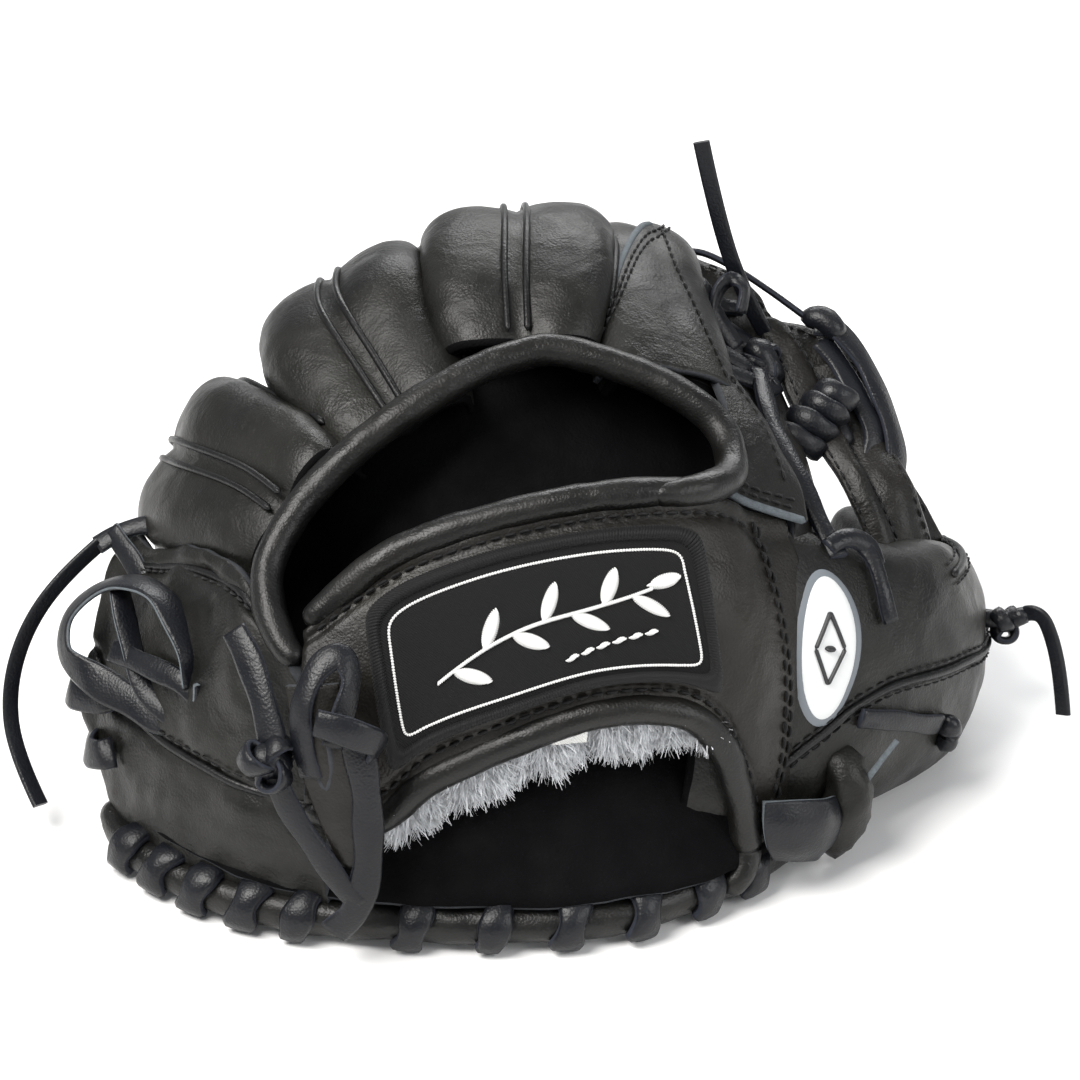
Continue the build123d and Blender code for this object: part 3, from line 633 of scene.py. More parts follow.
for finger, first in (("pinky", 0.30), ("thumb", 0.34)):
    s, a = net(10, 48, (first, first + 0.09), (0, 360))
    loop = slab(STALLS[finger].at(s, a, -4.4), STALLS[finger].at(s, a, -6.0), LINING, RAW_DARK)
    attach(f"{finger}_inner_loop", [loop], finger, f"{finger}_loop")

# ---- palm ----
PALM = Sheet([
    [(-112, -36, 11), (-112, -18, 20), (-112, -4, 29), (-112, 8, 35), (-108, 24, 44), (-104, 40, 52)],
    [(-96, -55, 11), (-96, -32, 26), (-96, -12, 40), (-96, 2, 48), (-94, 20, 60), (-92, 40, 70)],
    [(-76, -68, 9.5), (-76, -42, 33), (-76, -20, 50), (-76, -4, 60), (-76, 18, 78), (-76, 40, 92)],
    [(-44, -76, 9), (-44, -48, 38), (-44, -26, 60), (-44, -8, 76), (-48, 14, 96), (-52, 40, 108)],
    [(-10, -78, 9), (-10, -49, 42), (-10, -26, 66), (-10, 0, 90), (-9, 24, 114), (-8, 44, 122)],
    [(24, -74, 9), (24, -45, 40), (24, -22, 63), (24, 0, 84), (28, 22, 102), (32, 42, 110)],
    [(50, -60, 9.5), (50, -36, 36), (50, -17, 57), (50, 0, 73), (50, 16, 88), (50, 34, 102)],
    [(66, -46, 10), (66, -28, 33), (66, -13, 50), (66, 1, 64), (70, 12, 78), (76, 22, 84)],
])
palm = slab(PALM.at(*net(90, 60)), PALM.at(*net(90, 60), 3.0), SHELL, RAW_DARK, wear=1.6)
attach("palm", [palm], "pinky_fold", "palm_shell", "pinky_palm_shell")
under = net(80, 50, v=(0, 0.97))
inside = slab(PALM.at(*under, 8.4), PALM.at(*under, 3.3), LINING, RAW_DARK, wear=1.6)
attach("palm_inside", [inside], "pinky_fold", "palm_lining", "pinky_palm_lining", "palm_pad",
       "pinky_heel_pad",
       "thumb_heel_pad")

# ---- little-finger side ----
CHEEK = Sheet([
    [(-129, -15, 22), (-131, -12, 32), (-130, -4, 44), (-127, 4, 55), (-123, 12, 66), (-118, 20, 76)],
    [(-123, -31, 12), (-124, -23, 26), (-124, -13, 40), (-122, -3, 53), (-119, 5, 65), (-114, 10, 75)],
    [(-114, -45, 8), (-115, -39, 25), (-115, -28, 42), (-113, -16, 57), (-110, -7, 70), (-106, -2, 81)],
    [(-104, -56, 7), (-104, -52, 26), (-104, -42, 45), (-103, -30, 62), (-100, -20, 77), (-97, -15, 88)],
    [(-92, -65, 7), (-92, -63, 28), (-92, -54, 50), (-91, -43, 69), (-89, -34, 82), (-87, -27, 91)],
    [(-80, -71, 7), (-80, -70, 30), (-80, -63, 54), (-80, -54, 73), (-80, -48, 84), (-79, -40, 92)],
    [(-58, -79, 7), (-58, -78, 32), (-58, -72, 58), (-60, -67, 70), (-66, -62, 76), (-71, -56, 82)],
])
FOLD_SEAM = (0.46, -0.19)  # height of the slanting seam at its left end, and how it changes to the right
TOP_SEAM = 0.90


def on_cheek(u, v, lift=0.0):
    """Points on the side, padded between its seams and drawn in along them."""
    slanted = FOLD_SEAM[0] + FOLD_SEAM[1] * u
    drawn = np.exp(-(((v - slanted) / 0.025) ** 2)) + np.exp(-(((v - TOP_SEAM) / 0.03) ** 2))
    return CHEEK.at(u, v, 2.2 * np.sin(np.pi * np.clip(v, 0, 1)) ** 0.5 - 1.6 * drawn + lift)


cheek = slab(on_cheek(*net(90, 80)), CHEEK.at(*net(90, 80), -3.0), SHELL, RAW_DARK, wear=2.0, seed=3)
attach("little_finger_side", [cheek], "pinky_fold", "pinky_side_panel")
rows, pipes = [], []
for level, tilt, beside in ((*FOLD_SEAM, 0.025), (TOP_SEAM, 0.0, -0.025)):
    u = np.linspace(0.03, 0.97, 160)
    rows.append(seam(on_cheek, u, level + beside + tilt * u, 0.35, GREY_THREAD, 3.0, 1.1, 0.38))
    u = np.linspace(0.02, 0.98, 50)
    pipes.append(pipe(on_cheek(u, level + tilt * u, 0.4), 1.2))
attach("little_finger_side_stitching", rows, "pinky_fold", slot="welt_leather")
attach("little_finger_side_piping", pipes, "pinky_fold")

# ---- wrist strap ----
STRAP_X = [-64, -45, -30, -8, 16, 38, 50, 57, 64, 76]
STRAP_SEAM = 8 / 9  # where the strap is sewn down to the thumb, along its net
STRAP = Sheet([
    [(-64, -77, 44), (-64, -72, 60), (-64, -65, 74), (-64, -56, 86)],
    [(-45, -77, 40), (-45, -73, 61), (-45, -64, 82), (-45, -51, 101)],
    [(-30, -75, 52), (-30, -70, 72), (-30, -61, 90), (-30, -48, 108)],
    [(-8, -72, 62), (-8, -67, 79), (-8, -58, 97), (-8, -45, 114)],
    [(16, -68, 69), (16, -63, 84), (16, -54, 100), (16, -41, 117)],
    [(38, -64, 67), (38, -58, 82), (38, -49, 98), (38, -36, 116)],
    [(50, -62, 56), (50, -55, 76), (50, -45, 94), (48, -31, 113)],
    [(56.5, -60, 37), (59, -53, 62), (58, -41, 86), (54, -27, 109)],
    [(60.5, -59, 15), (66.5, -48, 46), (65.5, -37, 74), (58, -23, 104)],
    [(68, -52, 9), (77, -35, 44), (76, -27, 72), (68, -15, 98)],
])


def strap_u(x):
    """Where a distance along X falls on the strap's net."""
    return np.interp(x, STRAP_X, np.linspace(0, 1, len(STRAP_X)))


def on_strap(u, v, lift=0.0):
    """Points on the strap, its foam pressed down along its stitched edges."""
    drawn = np.exp(-(((v - 0.10) / 0.03) ** 2)) + np.exp(-(((v - 0.93) / 0.025) ** 2))
    return STRAP.at(u, v, 1.8 * np.sin(np.pi * v) ** 0.6 - 1.1 * drawn + lift)


strap = slab(on_strap(*net(120, 60)), STRAP.at(*net(120, 60), -4.8), STRAP_SKIN, RAW_DARK, wear=0.9, seed=5)
attach("strap", [strap], "palm", "wrist_strap")

u, v = np.linspace(0.02, STRAP_SEAM - 0.02, 240), np.linspace(0.04, 0.99, 160)
rows = [seam(on_strap, u, level, 0.3, BLACK_THREAD, 3.0, 1.1, 0.5) for level in (0.085, 0.94)]
for inset in (-0.004, 0.014):
    rows.append(seam(on_strap, STRAP_SEAM + inset, v, 0.35, BLACK_THREAD, 3.2, 1.2, 0.55))
attach("strap_stitching", rows, "palm", slot="strap_leather")

BOTTOM_ROLL_END = [(56.5, -62.5, 11), (51.5, -65.5, 6)]  # it tucks in behind the heel roll
for name, level, end, node in (("strap_top_roll", 1.0, strap_u(45), "strap_top_binding"),
                               ("strap_bottom_roll", 0.0, STRAP_SEAM, "strap_bottom_binding")):
    u = np.linspace(0.0, end, 40)
    middle = STRAP.at(u, level, -1.6)
    line = middle + unit(middle - STRAP.at(u, abs(level - 0.1), -1.6)) * 2.0
    if level == 0.0:
        line = np.vstack((line[:-1], BOTTOM_ROLL_END))
    roll = tube(line, [3.4] + [ROLL_R + 0.5] * 6 + [3.6], ROLLED, sides=20, count=170, wear=0.3)
    attach(name, [roll], "palm", node)

# ---- fleece inside the strap: a lumpy backing with a shaggy hem that hangs below the roll ----
FLEECE_X = (-46.0, 46.0)
FLEECE_U, FLEECE_V = (0.12, 0.72), (0.0, 0.98)
HEM = 15.0  # how far the hem's backing hangs below the roll's centre
BACK_FIBRES, HEM_FIBRES = 9000, 22000


def fleece_line(x, hang, depth):
    """Points behind the strap's lower roll, hanging below it by hang at a depth inside it."""
    x, hang, depth = np.broadcast_arrays(x, hang, depth)
    return STRAP.at(strap_u(x), 0.0) + np.stack((np.zeros(x.shape), depth + 0.25 * hang, -hang), -1)


def hem_taper(x):
    """Part of its full length that the hem hangs at x."""
    return np.clip(np.minimum(x - FLEECE_X[0], FLEECE_X[1] - x) / 14, 0.15, 1) ** 0.6


def curls(roots, directions, length):
    """Short curled fibres of fleece, each a thin bent strip."""
    steps = 5
    sideways = unit(np.cross(directions, RNG.normal(size=directions.shape)))
    other = np.cross(directions, sideways)
    points = []
    for k in range(steps):
        t = k / (steps - 1)
        centre = roots + directions * (t * length)[:, None] + sideways * (math.sin(t * 3.6) * 0.8)
        centre = centre + other * (math.sin(t * 5.0) * 0.6)
        wide = 0.22 * (1 - 0.6 * t)
        points.append(np.stack((centre - other * wide, centre + other * wide), axis=1))
    base = np.arange(len(roots))[:, None] * steps * 2
    faces = [base + 2 * k + np.array([0, 1, 3, 2]) for k in range(steps - 1)]
    return mesh(np.stack(points, axis=1), np.concatenate(faces), FLEECE)


grid = net(110, 60, FLEECE_U, FLEECE_V)
clumps = crumple(STRAP.at(*grid, -10.5), 4.5, 2.4, 9)
backing = slab(STRAP.at(*grid, -5.0), clumps, FLEECE)
x, t = net(150, 24, FLEECE_X)
hang = HEM * hem_taper(x) * t
hem_front = crumple(fleece_line(x, hang, 4.0), 5.0, 2.6, 4)
hem_backing = slab(hem_front, fleece_line(x, hang * 0.95, 10.0), FLEECE)

u = RNG.uniform(*FLEECE_U, BACK_FIBRES)
v = RNG.uniform(*FLEECE_V, BACK_FIBRES) ** 1.3
away = unit(-STRAP.normal(u, v) + RNG.normal(0, 0.55, (BACK_FIBRES, 3)))
fibres = curls(STRAP.at(u, v, -8.5), away, RNG.uniform(2.0, 4.2, BACK_FIBRES))
x = RNG.uniform(*FLEECE_X, HEM_FIBRES)
hang = HEM * hem_taper(x) * RNG.uniform(0.2, 1.0, HEM_FIBRES)
lower = fleece_line(x, hang, RNG.uniform(2.2, 6.0, HEM_FIBRES))
lean = np.tile((0.0, -0.35, -1.0), (HEM_FIBRES, 1))
lean[:, 0] = 0.5 * np.sin(x * 0.35) + 0.3 * np.sin(x * 0.9)
away = unit(lean + RNG.normal(0, 0.32, (HEM_FIBRES, 3)))
tuft = 0.75 + 0.25 * np.sin(x * 0.55) * np.sin(x * 0.23 + 1)
shag = curls(lower, away, RNG.uniform(5.0, 11.0, HEM_FIBRES) * tuft)
attach("strap_lining_fleece", [backing, hem_backing, fibres, shag], "palm", "strap_fleece")

# ---- stitched patch on the strap ----
PATCH_W, PATCH_H = 87.0, 40.0


def patch_uv(a, b):
    """Strap net positions of patch positions: a left to right, b bottom to top."""
    return strap_u(-39 + 86 * np.asarray(a) - 6.5 * np.asarray(b)), 0.17 + 0.69 * np.asarray(b)


def on_patch(a, b, lift):
    """Points over the patch."""
    return on_strap(*patch_uv(a, b), lift)


def rounded_loop(inset, count):
    """Positions evenly round the patch's outline, drawn in by inset millimetres."""
    t = np.linspace(0, 2 * math.pi, count, endpoint=False)
    size = (PATCH_W - 2 * inset, PATCH_H - 2 * inset)
    loop = signed_power(np.stack((np.cos(t), np.sin(t)), 1), 0.16) * size / 2
    loop = np.vstack((loop, loop[:1]))
    run = distances(loop)
    return (pick(loop, run, np.linspace(0, run[-1], count)) / (PATCH_W, PATCH_H) + 0.5).T


def embroider(starts, ends, lifts, radius, material, arch):
    """Stitches between positions on the patch, with a height for their starts and one for their ends."""
    normals = STRAP.normal(*patch_uv(*starts))
    return threads(on_patch(*starts, lifts[0]), on_patch(*ends, lifts[1]), normals, radius, material, arch)


a, b = net(90, 44, (0.005, 0.995), (0.01, 0.99))
attach("patch_cloth", [slab(on_patch(a, b, 1.5), on_patch(a, b, 0.2), TWILL)], "palm", "patch_base")

core = tube(on_patch(*rounded_loop(0.0, 400), 1.3), 1.45, BLACK_THREAD, sides=12, count=400)
outside = np.roll(rounded_loop(-1.9, 330), -2, axis=1)
wrap = embroider(rounded_loop(1.9, 330), outside, (1.2, 0.6), 0.62, BLACK_THREAD, 2.2)
attach("patch_edging", [core, wrap], "palm", "patch_border", slot="patch_edge")


def satin_leaf(centre, angle, half_length, half_width, pitch=0.5):
    """Ends of the threads of one embroidered leaf, in millimetres from the patch's centre."""
    along = np.array((math.cos(angle), math.sin(angle)))
    across = np.array((-along[1], along[0]))
    k = np.arange(-half_length, half_length + 0.01, pitch)[:, None]
    reach = half_width * np.sqrt(np.clip(1 - (k / half_length) ** 2, 0.01, 1))
    slant = along * 0.7
    return centre + along * k - across * reach - slant, centre + along * k + across * reach + slant


def sprig_stem(x):
    """Height of the sprig's stem at x."""
    step = (x + 24) / 8
    return -4.5 + 1.7 * step + 1.4 * np.sin(step * 0.9)


RISE = math.radians(12)  # the sprig's slope
leaves = []
for i in range(7):
    x = -24 + 8 * i
    angle = RISE + (1 if i % 2 else -1) * math.radians(48)
    centre = np.array((x, sprig_stem(x))) + np.array((math.cos(angle), math.sin(angle))) * 5.2
    leaves.append(satin_leaf(centre, angle, 4.9, 1.9))
leaves.append(satin_leaf(np.array((33.0, 8.2)), RISE, 4.6, 1.8))
x = np.arange(-29, 29, 0.55)
leaves.append((np.stack((x, sprig_stem(x) - 0.55), 1), np.stack((x + 0.5, sprig_stem(x) + 0.55), 1)))
for i in range(6):
    leaves.append(satin_leaf(np.array((6.0 + 4.2 * i, -10.4 + 0.9 * i)), RISE, 1.2, 0.8, 0.4))
starts, ends = ((np.concatenate(half) / (PATCH_W, PATCH_H) + 0.5).T for half in zip(*leaves))
loop = rounded_loop(4.0, 300)
inset_line = embroider(loop[:, :-1], loop[:, 1:], (1.75, 1.75), 0.42, WHITE_THREAD, 0.15)
sprig = embroider(starts, ends, (1.7, 1.7), 0.34, WHITE_THREAD, 0.55)
attach("patch_motif", [inset_line, sprig], "palm", "patch_emblem")

a, b = net(14, 10)
cloth = np.stack((3.5 + 9 * a + 0.4 * b, -70.5 - 0.8 * np.sin(b * 2.2) + 0.3 * a, 58.5 + 7 * b + 0.8 * a), -1)
attach("woven_tag", [slab(cloth, cloth + np.array((0, 0.5, 0.1)), TAG_CLOTH)], "palm", "size_tag")

# ---- bindings ----
HOLE_RIM = [(30, -37.5, 117.5), (39, -34.5, 117), (46, -30, 116), (51, -23, 114.5), (53, -14, 114.5),
            (51, -4, 118.5), (43, 2, 125), (30, 7, 130.5), (16, 9, 135), (1, 10, 137.5), (-16, 4, 135),
            (-33, -5, 129), (-50, -14, 120), (-66, -25, 107), (-74, -36, 96), (-74, -46, 88), (-70, -55, 82),
            (-65, -61, 78)]
HEEL = [(-124, -28, 10), (-118, -41, 7.6), (-106, -54, 6.8), (-92, -65, 6.6), (-78, -72, 6.6),
        (-60, -77.5, 6.6),
        (-44, -79.5, 6.6), (-10, -81, 6.6), (20, -77.5, 6.6), (42, -66.5, 6.6), (60, -53, 7), (72, -44, 8)]
HEEL_R = 5.4
rim = tube(HOLE_RIM, [3.2] + [ROLL_R + 0.7] * 14 + [3.4], ROLLED, sides=20, count=200,
           facing=(0.1, -0.6, 0.8),
           wear=0.35)
attach("back_hole_binding", [rim], "pinky_fold", "hole_binding", "pinky_hole_binding")
heel = tube(HEEL, [3.8] + [HEEL_R] * 10 + [3.8], ROLLED, sides=22, count=230, wear=0.4)
attach("rolled_heel_edge", [heel], "pinky_fold", "heel_roll", "pinky_heel_roll")


def whip_stitch(x):
    """One wrap of flat lace over the heel roll, slanting along it."""
    line = evenly(HEEL, 300)
    i = int(np.argmin(np.abs(line[:, 0] - x)))
    along = unit(line[min(i + 3, 299)] - line[max(i - 3, 0)])
    outward = unit(np.array((along[1], -along[0], 0.0)))
    up = np.array((0.0, 0.0, 1.0))
    points, facing = [], []
    for k, degrees in enumerate((-42, -15, 25, 65, 105, 150)):
        angle = math.radians(degrees)
        direction = outward * math.cos(angle) + up * math.sin(angle)
        points.append(line[i] + direction * (HEEL_R + 1.2) + along * (k - 2.5) * 1.1)
        facing.append(direction)
    return ribbon(points, facing, 8.4, 3.6, count=30, wave=0.6)


for name, where, node, places in (
    ("heel_whip_stitches", "palm", "heel_lace", (-65, -34, -12, 9, 28, 45, 58)),
    ("little_finger_heel_whip_stitches", "pinky", "pinky_heel_lace", (-114, -104, -92.5, -79)),
):
    attach(name, [whip_stitch(x) for x in places], where, node)

# ---- thumb: badge, seams, panels ----
THUMB = STALLS["thumb"]
THUMB_LENGTH = 235.0
BADGE_AT = (0.198, 10.5)  # along and across the thumb's back
THUMB_WELT = [(0.130, -25), (0.173, -18), (0.208, -12.5), (0.245, -5.5), (0.292, 1.5), (0.340, 3.5),
              (0.41, 2.5),
              (0.5, -1), (0.65, -4), (0.8, -4)]
UPPER_WELT = [(0.42, 27), (0.8, 25)]
SIDE_LACE = [(0.250, -8.0), (0.305, -8.5), (0.360, -11.5)]  # the flat lace beside the badge, along and across
SIDE_LACE_END = [(0.372, -10.0), (0.382, -16.0), (0.378, -21.0)]


def on_thumb(s, across, lift=0.0):
    """Points on the thumb's back at a distance across from its centre line, up positive."""
    s, across = np.broadcast_arrays(np.asarray(s, float), np.asarray(across, float))
    half = THUMB.frame_at(s)[3][..., 0]
    cosine = signed_power(np.clip(across / half, -0.98, 0.98), THUMB.power / 2)
    return THUMB.at(s, np.degrees(np.arccos(cosine)), lift)


def on_badge(x, y, lift):
    """Points over the badge, x along the thumb and y across it from the badge's centre."""
    return on_thumb(BADGE_AT[0] + x / THUMB_LENGTH, BADGE_AT[1] + y, lift)


def badge_disc(size, low, high, material):
    """An oval plate lying on the thumb, size (along, across), between two heights."""
    r, t = net(12, 56, (0.02, 1), (0, 2 * math.pi), closed=True)
    dome = np.sqrt(np.clip(1 - r**6, 0, 1))
    top = on_badge(r * np.cos(t) * size[0], r * np.sin(t) * size[1], low + (high - low) * dome)
    return mesh(top, grid_faces(12, 56, closed=True) + [cap(0, 56)], material)


discs = [badge_disc((10.6, 21.5), 0.3, 1.5, BADGE_RIM), badge_disc((8.8, 19.6), 0.9, 2.3, BADGE_WHITE)]
attach("thumb_badge", discs, "thumb_fold", "oval_patch", slot="badge_rubber")
marks = []
for turn in range(4):
    first, last = math.radians(90 * turn), math.radians(90 * turn + 90)
    t = np.linspace(0, 1, 14)
    x = (1 - t) * math.cos(first) + t * math.cos(last)
    y = (1 - t) * math.sin(first) + t * math.sin(last)
    marks.append(tube(on_badge(x * 4.6, y * 9.5, 2.5), 0.75, BADGE_PRINT, sides=8, count=24, flatten=0.6))
dot = on_badge(np.linspace(-1.6, 1.6, 6), 0.0, 2.5)
marks.append(tube(dot, 1.5, BADGE_PRINT, sides=10, count=14, flatten=0.5))
attach("badge_motif", marks, "thumb_fold", "oval_emblem")

rows, pipes = [], []
for welt in (THUMB_WELT, UPPER_WELT):
    s, across = sample(welt, np.linspace(0, 1, 240)).T
    pipes.append(pipe(on_thumb(s, across, 0.35)[::4], 1.25))
    rows += [seam(on_thumb, s, across + side, 0.35, GREY_THREAD, 3.0, 1.1, 0.38) for side in (-2.6, 2.6)]
attach("thumb_stitching", rows, "thumb_fold", slot="welt_leather")
attach("thumb_piping", pipes, "thumb_fold")

# Panel between the index stall, the back hole and the crotch of the thumb.
BACK_PANEL = Sheet([
    [(49, -25, 114), (51.5, -12, 116), (53, 2, 121), (50, 16, 125.5), (45, 34, 128)],
    [(57, -22, 107.5), (60, -11, 110), (59.5, 3, 116.5), (55, 17, 121.5), (47, 34, 127)],
    [(66, -17.5, 101.5), (67, -7, 106), (64.5, 5, 112.5), (58.5, 18, 118.5), (49.5, 35, 125)],
    [(75, -13, 96), (73, -4, 102.5), (67.5, 6, 108.5), (60.5, 18, 114.5), (51, 35, 122)],
])
u, v = net(40, 50)
puffy = 1.4 * np.sin(math.pi * u) * np.sin(math.pi * v)
panel = slab(BACK_PANEL.at(u, v, puffy), BACK_PANEL.at(u, v, -2.6), SHELL, RAW_DARK, wear=0.4)
cut = tube(BACK_PANEL.at(np.linspace(0.02, 1, 14), 0.0, -0.9), 1.25, RAW, sides=8)
attach("index_side_panel", [panel, cut], "palm", "index_back_panel")
rows = [seam(BACK_PANEL.at, np.linspace(0.04, 0.96, 90), level, 0.5, BLACK_THREAD) for level in (0.05, 0.11)]
rows.append(seam(BACK_PANEL.at, np.linspace(0.72, 0.3, 90), np.linspace(0.22, 0.97, 90), 1.1, BLACK_THREAD))
attach("index_side_panel_stitching", rows, "palm", slot="welt_leather")

# ---- web ----
POST = Sheet([
    [(98, 14, 64), (90, 27, 80), (83, 38, 89), (75, 50, 98), (70, 62, 107), (64, 76, 114)],
    [(102, 16, 66), (95, 29, 83), (89, 40, 91), (83, 52, 99), (76, 64, 108), (68, 76, 115)],
    [(107, 18, 63), (98, 31, 79), (91, 42, 87), (86, 54, 96), (80, 65, 106), (74, 76, 112)],
])
CROSSBAR = Sheet([
    [(45, 80, 119), (51, 78, 114), (58, 76, 107), (66, 72, 101), (76, 66, 95), (86, 59, 89), (93, 52, 82),
     (98, 44, 75), (108, 34, 60)],
    [(46, 86, 125), (55, 84, 120), (63, 82, 113), (69, 79, 107), (79, 75, 103), (90, 68, 97), (98, 59, 88),
     (104, 47, 78), (115, 37, 59)],
    [(47, 92, 127), (58, 90, 123), (66, 87, 117), (70.5, 86, 109.5), (81, 83, 108), (93, 77, 103),
     (102, 66, 92),
     (108, 50, 79), (121, 41, 58)],
])
SIDE_PANEL = Sheet([
    [(106, 19, 62), (97, 31, 78), (91, 43, 85), (86, 54, 94), (81, 65, 104)],
    [(111, 24, 63), (104, 34, 80), (98, 46, 87), (93, 56, 95), (87, 66, 105)],
    [(117, 30, 60), (110, 37, 78), (104, 48, 86), (98, 58, 94), (90, 68, 105)],
])
SIDE_WALL = Sheet([
    [(71, -16, 91), (71, -2, 100), (66, 8, 106), (59, 20, 112), (50, 36, 119), (45, 56, 123), (43, 78, 124)],
    [(77, -8, 88), (77, 4, 92), (72, 16, 98), (67, 28, 103), (61, 42, 108), (56, 60, 112), (52, 78, 113)],
    [(83, -4, 80), (82, 10, 83), (79, 24, 88), (76, 36, 94), (74, 50, 98), (68, 64, 104), (60, 79, 105)],
])


def web_panel(name, sheet, flip, node):
    """A two-ply web piece with cut edges and a row of stitches inside each long edge."""

    def surface(u, v, lift):
        return sheet.at(u, v, flip * lift)

    u, v = net(30, 60)
    front = surface(u, v, 0.9 * np.sin(math.pi * u) ** 0.5)
    plies = slab(front, surface(u, v, -3.0), WEB_SKIN, RAW_DARK, wear=0.8, seed=2)
    attach(name, [plies], "web", node)
    v = np.linspace(0.04, 0.96, 120)
    rows = [seam(surface, level, v, 0.8, GREY_THREAD, 2.8, 1.0, 0.36) for level in (0.13, 0.87)]
    attach(f"{name}_stitching", rows, "web", slot="web_leather")


u, v = net(20, 50)
wall = slab(SIDE_WALL.at(u, v), SIDE_WALL.at(u, v, -2.4), WEB_SKIN, RAW_DARK, wear=0.6)
attach("index_side_wall", [wall], "palm")
web_panel("web_upright", POST, 1, "web_post")
web_panel("web_top_bar", CROSSBAR, -1, "web_crossbar")
web_panel("web_thumb_panel", SIDE_PANEL, 1, "web_side_panel")

OUT = (0.45, -0.45, 0.77)
WEB_LACES = {  # route, direction it faces, width and thickness
    "along the index side": (
        [(52, 24, 112), (67, 36, 100), (50, 40, 116), (69, 50, 105), (48, 56, 118), (65, 64, 109),
         (47, 72, 121),
         (60, 80, 116)], OUT, 5.4, 2.2),
    "top edge": ([(41, 92, 129), (49, 90, 129.5), (59, 86, 126), (69, 80, 121.5), (80, 75, 115)],
                 (0.3, 0.5, 0.8), 3.6),
    "outer strand": (
        [(82, 74, 114), (88, 73, 113), (96, 68, 105), (102.5, 58, 94), (105.5, 49, 85.5), (105, 43, 79)],
        (0.75, -0.35, 0.55), 9.0, 2.4),
    "inner strand": ([(84, 70, 110), (89, 65, 105), (95, 56, 97), (99, 49, 89.5), (98, 44, 84)],
                     (0.5, -0.6, 0.6), 7.0, 2.4),
    "flat lace to the crotch": (
        [(64, 51, 110), (65, 43, 108.5), (66, 33, 107), (67.5, 24, 104.5), (70.5, 16, 101.5), (74, 8, 98),
         (79, -4, 90.5), (84, -14, 84.5)], (0.3, -0.7, 0.6), 5.6, 2.4),
    "short end": ([(38, 73, 129), (43, 71, 131), (48, 66, 129), (53, 61, 121), (58, 58, 114)],
                  (0.3, -0.5, 0.8), 5.6, 2.2),
    "small loop": ([(51, 61, 121), (52, 65, 128), (56, 67, 132), (60, 65, 130), (59, 61, 124)],
                   (0.8, -0.5, 0.3), 4.6, 2.0),
    "crotch": ([(81, -13, 87), (85, -10, 88), (89, -8, 87), (93, -8, 84), (95, -11, 80)],
               (0.2, -0.6, 0.8), 5.6, 3.0),
    "crotch end": ([(90, -7, 86), (94, -11, 82), (96.5, -16, 76), (98, -19, 70.5), (99, -20, 67)],
                   (0.3, -0.8, 0.5), 4.4, 2.2),
}
lacing = [ribbon(*lace) for lace in WEB_LACES.values()]
lacing.append(tube([(87, 51, 94), (89, 48, 91), (91, 45, 88)], 2.8, LACE))
lacing.append(tube([(78, 76, 114), (82, 74.5, 115.5), (86, 73, 114.5), (90, 71, 110)], [2.8, 4.0, 4.2, 3.2],
                   LACE,
                   wear=0.7))
attach("web_laces", lacing, "web", "web_lacing")

# A lace wound round the strands that hold the post to the index side.
COIL_AXIS = [(75, 42, 90), (79, 45, 94), (84, 49, 98), (89, 54, 102)]
COIL_TURNS = 3.8
COIL_POINTS = 140
core = tube(COIL_AXIS, 3.6, LACE, sides=12)
axis_line = evenly(COIL_AXIS, COIL_POINTS)
along, side, face = frames(axis_line, OUT)
angle = np.linspace(0, 2 * math.pi * COIL_TURNS, COIL_POINTS)
coil_out = side * np.cos(angle)[:, None] + face * np.sin(angle)[:, None]
reach = np.linspace(7.2, 4.6, COIL_POINTS)[:, None]
coil = ribbon(axis_line + coil_out * reach, coil_out, 6.4, 3.0, count=2 * COIL_POINTS)
attach("web_wrapped_lace", [core, coil], "web", "web_spiral_lace")


def knot(centre, size, tilt, width):
    """A tight overhand knot of flat lace: a trefoil of ribbon pressed into a ball."""
    t = np.linspace(0, 2 * math.pi, 60)
    curve = np.stack((np.sin(t) + 1.7 * np.sin(2 * t), np.cos(t) - 1.7 * np.cos(2 * t),
                      -1.1 * np.sin(3 * t)), 1)
    third = unit(tilt)
    first = unit(np.cross(third, (0.3, 0.9, 0.1)))
    basis = np.stack((first, np.cross(third, first), third))
    points = np.asarray(centre) + curve @ basis * size
    outward = unit(points - np.asarray(centre) + third * 0.3)
    return ribbon(points, outward, width, 2.2, count=150, wave=0.1)


web_knot = [knot((66, 59, 108), 2.2, (0.3, -0.6, 0.7), 5.4),
            tube([(63, 62.5, 115), (66, 59.5, 108), (68.5, 55, 101)], 5.2, LACE, wear=0.5)]
attach("web_lace_knot", web_knot, "palm", "web_knot")

# ---- laces of the back, the strap and the thumb ----
tip_lace = ribbon([(-63, 95, 56), (-49, 98.5, 59), (-31, 105, 61), (-12.5, 111, 62.5), (8, 112, 69),
                   (22, 111, 76.5), (32, 107.5, 80)], (0, -1, 0.2), 4.4, edge=RAW)
attach("fingertip_lacing", [tip_lace], "palm", "fingertip_lace")

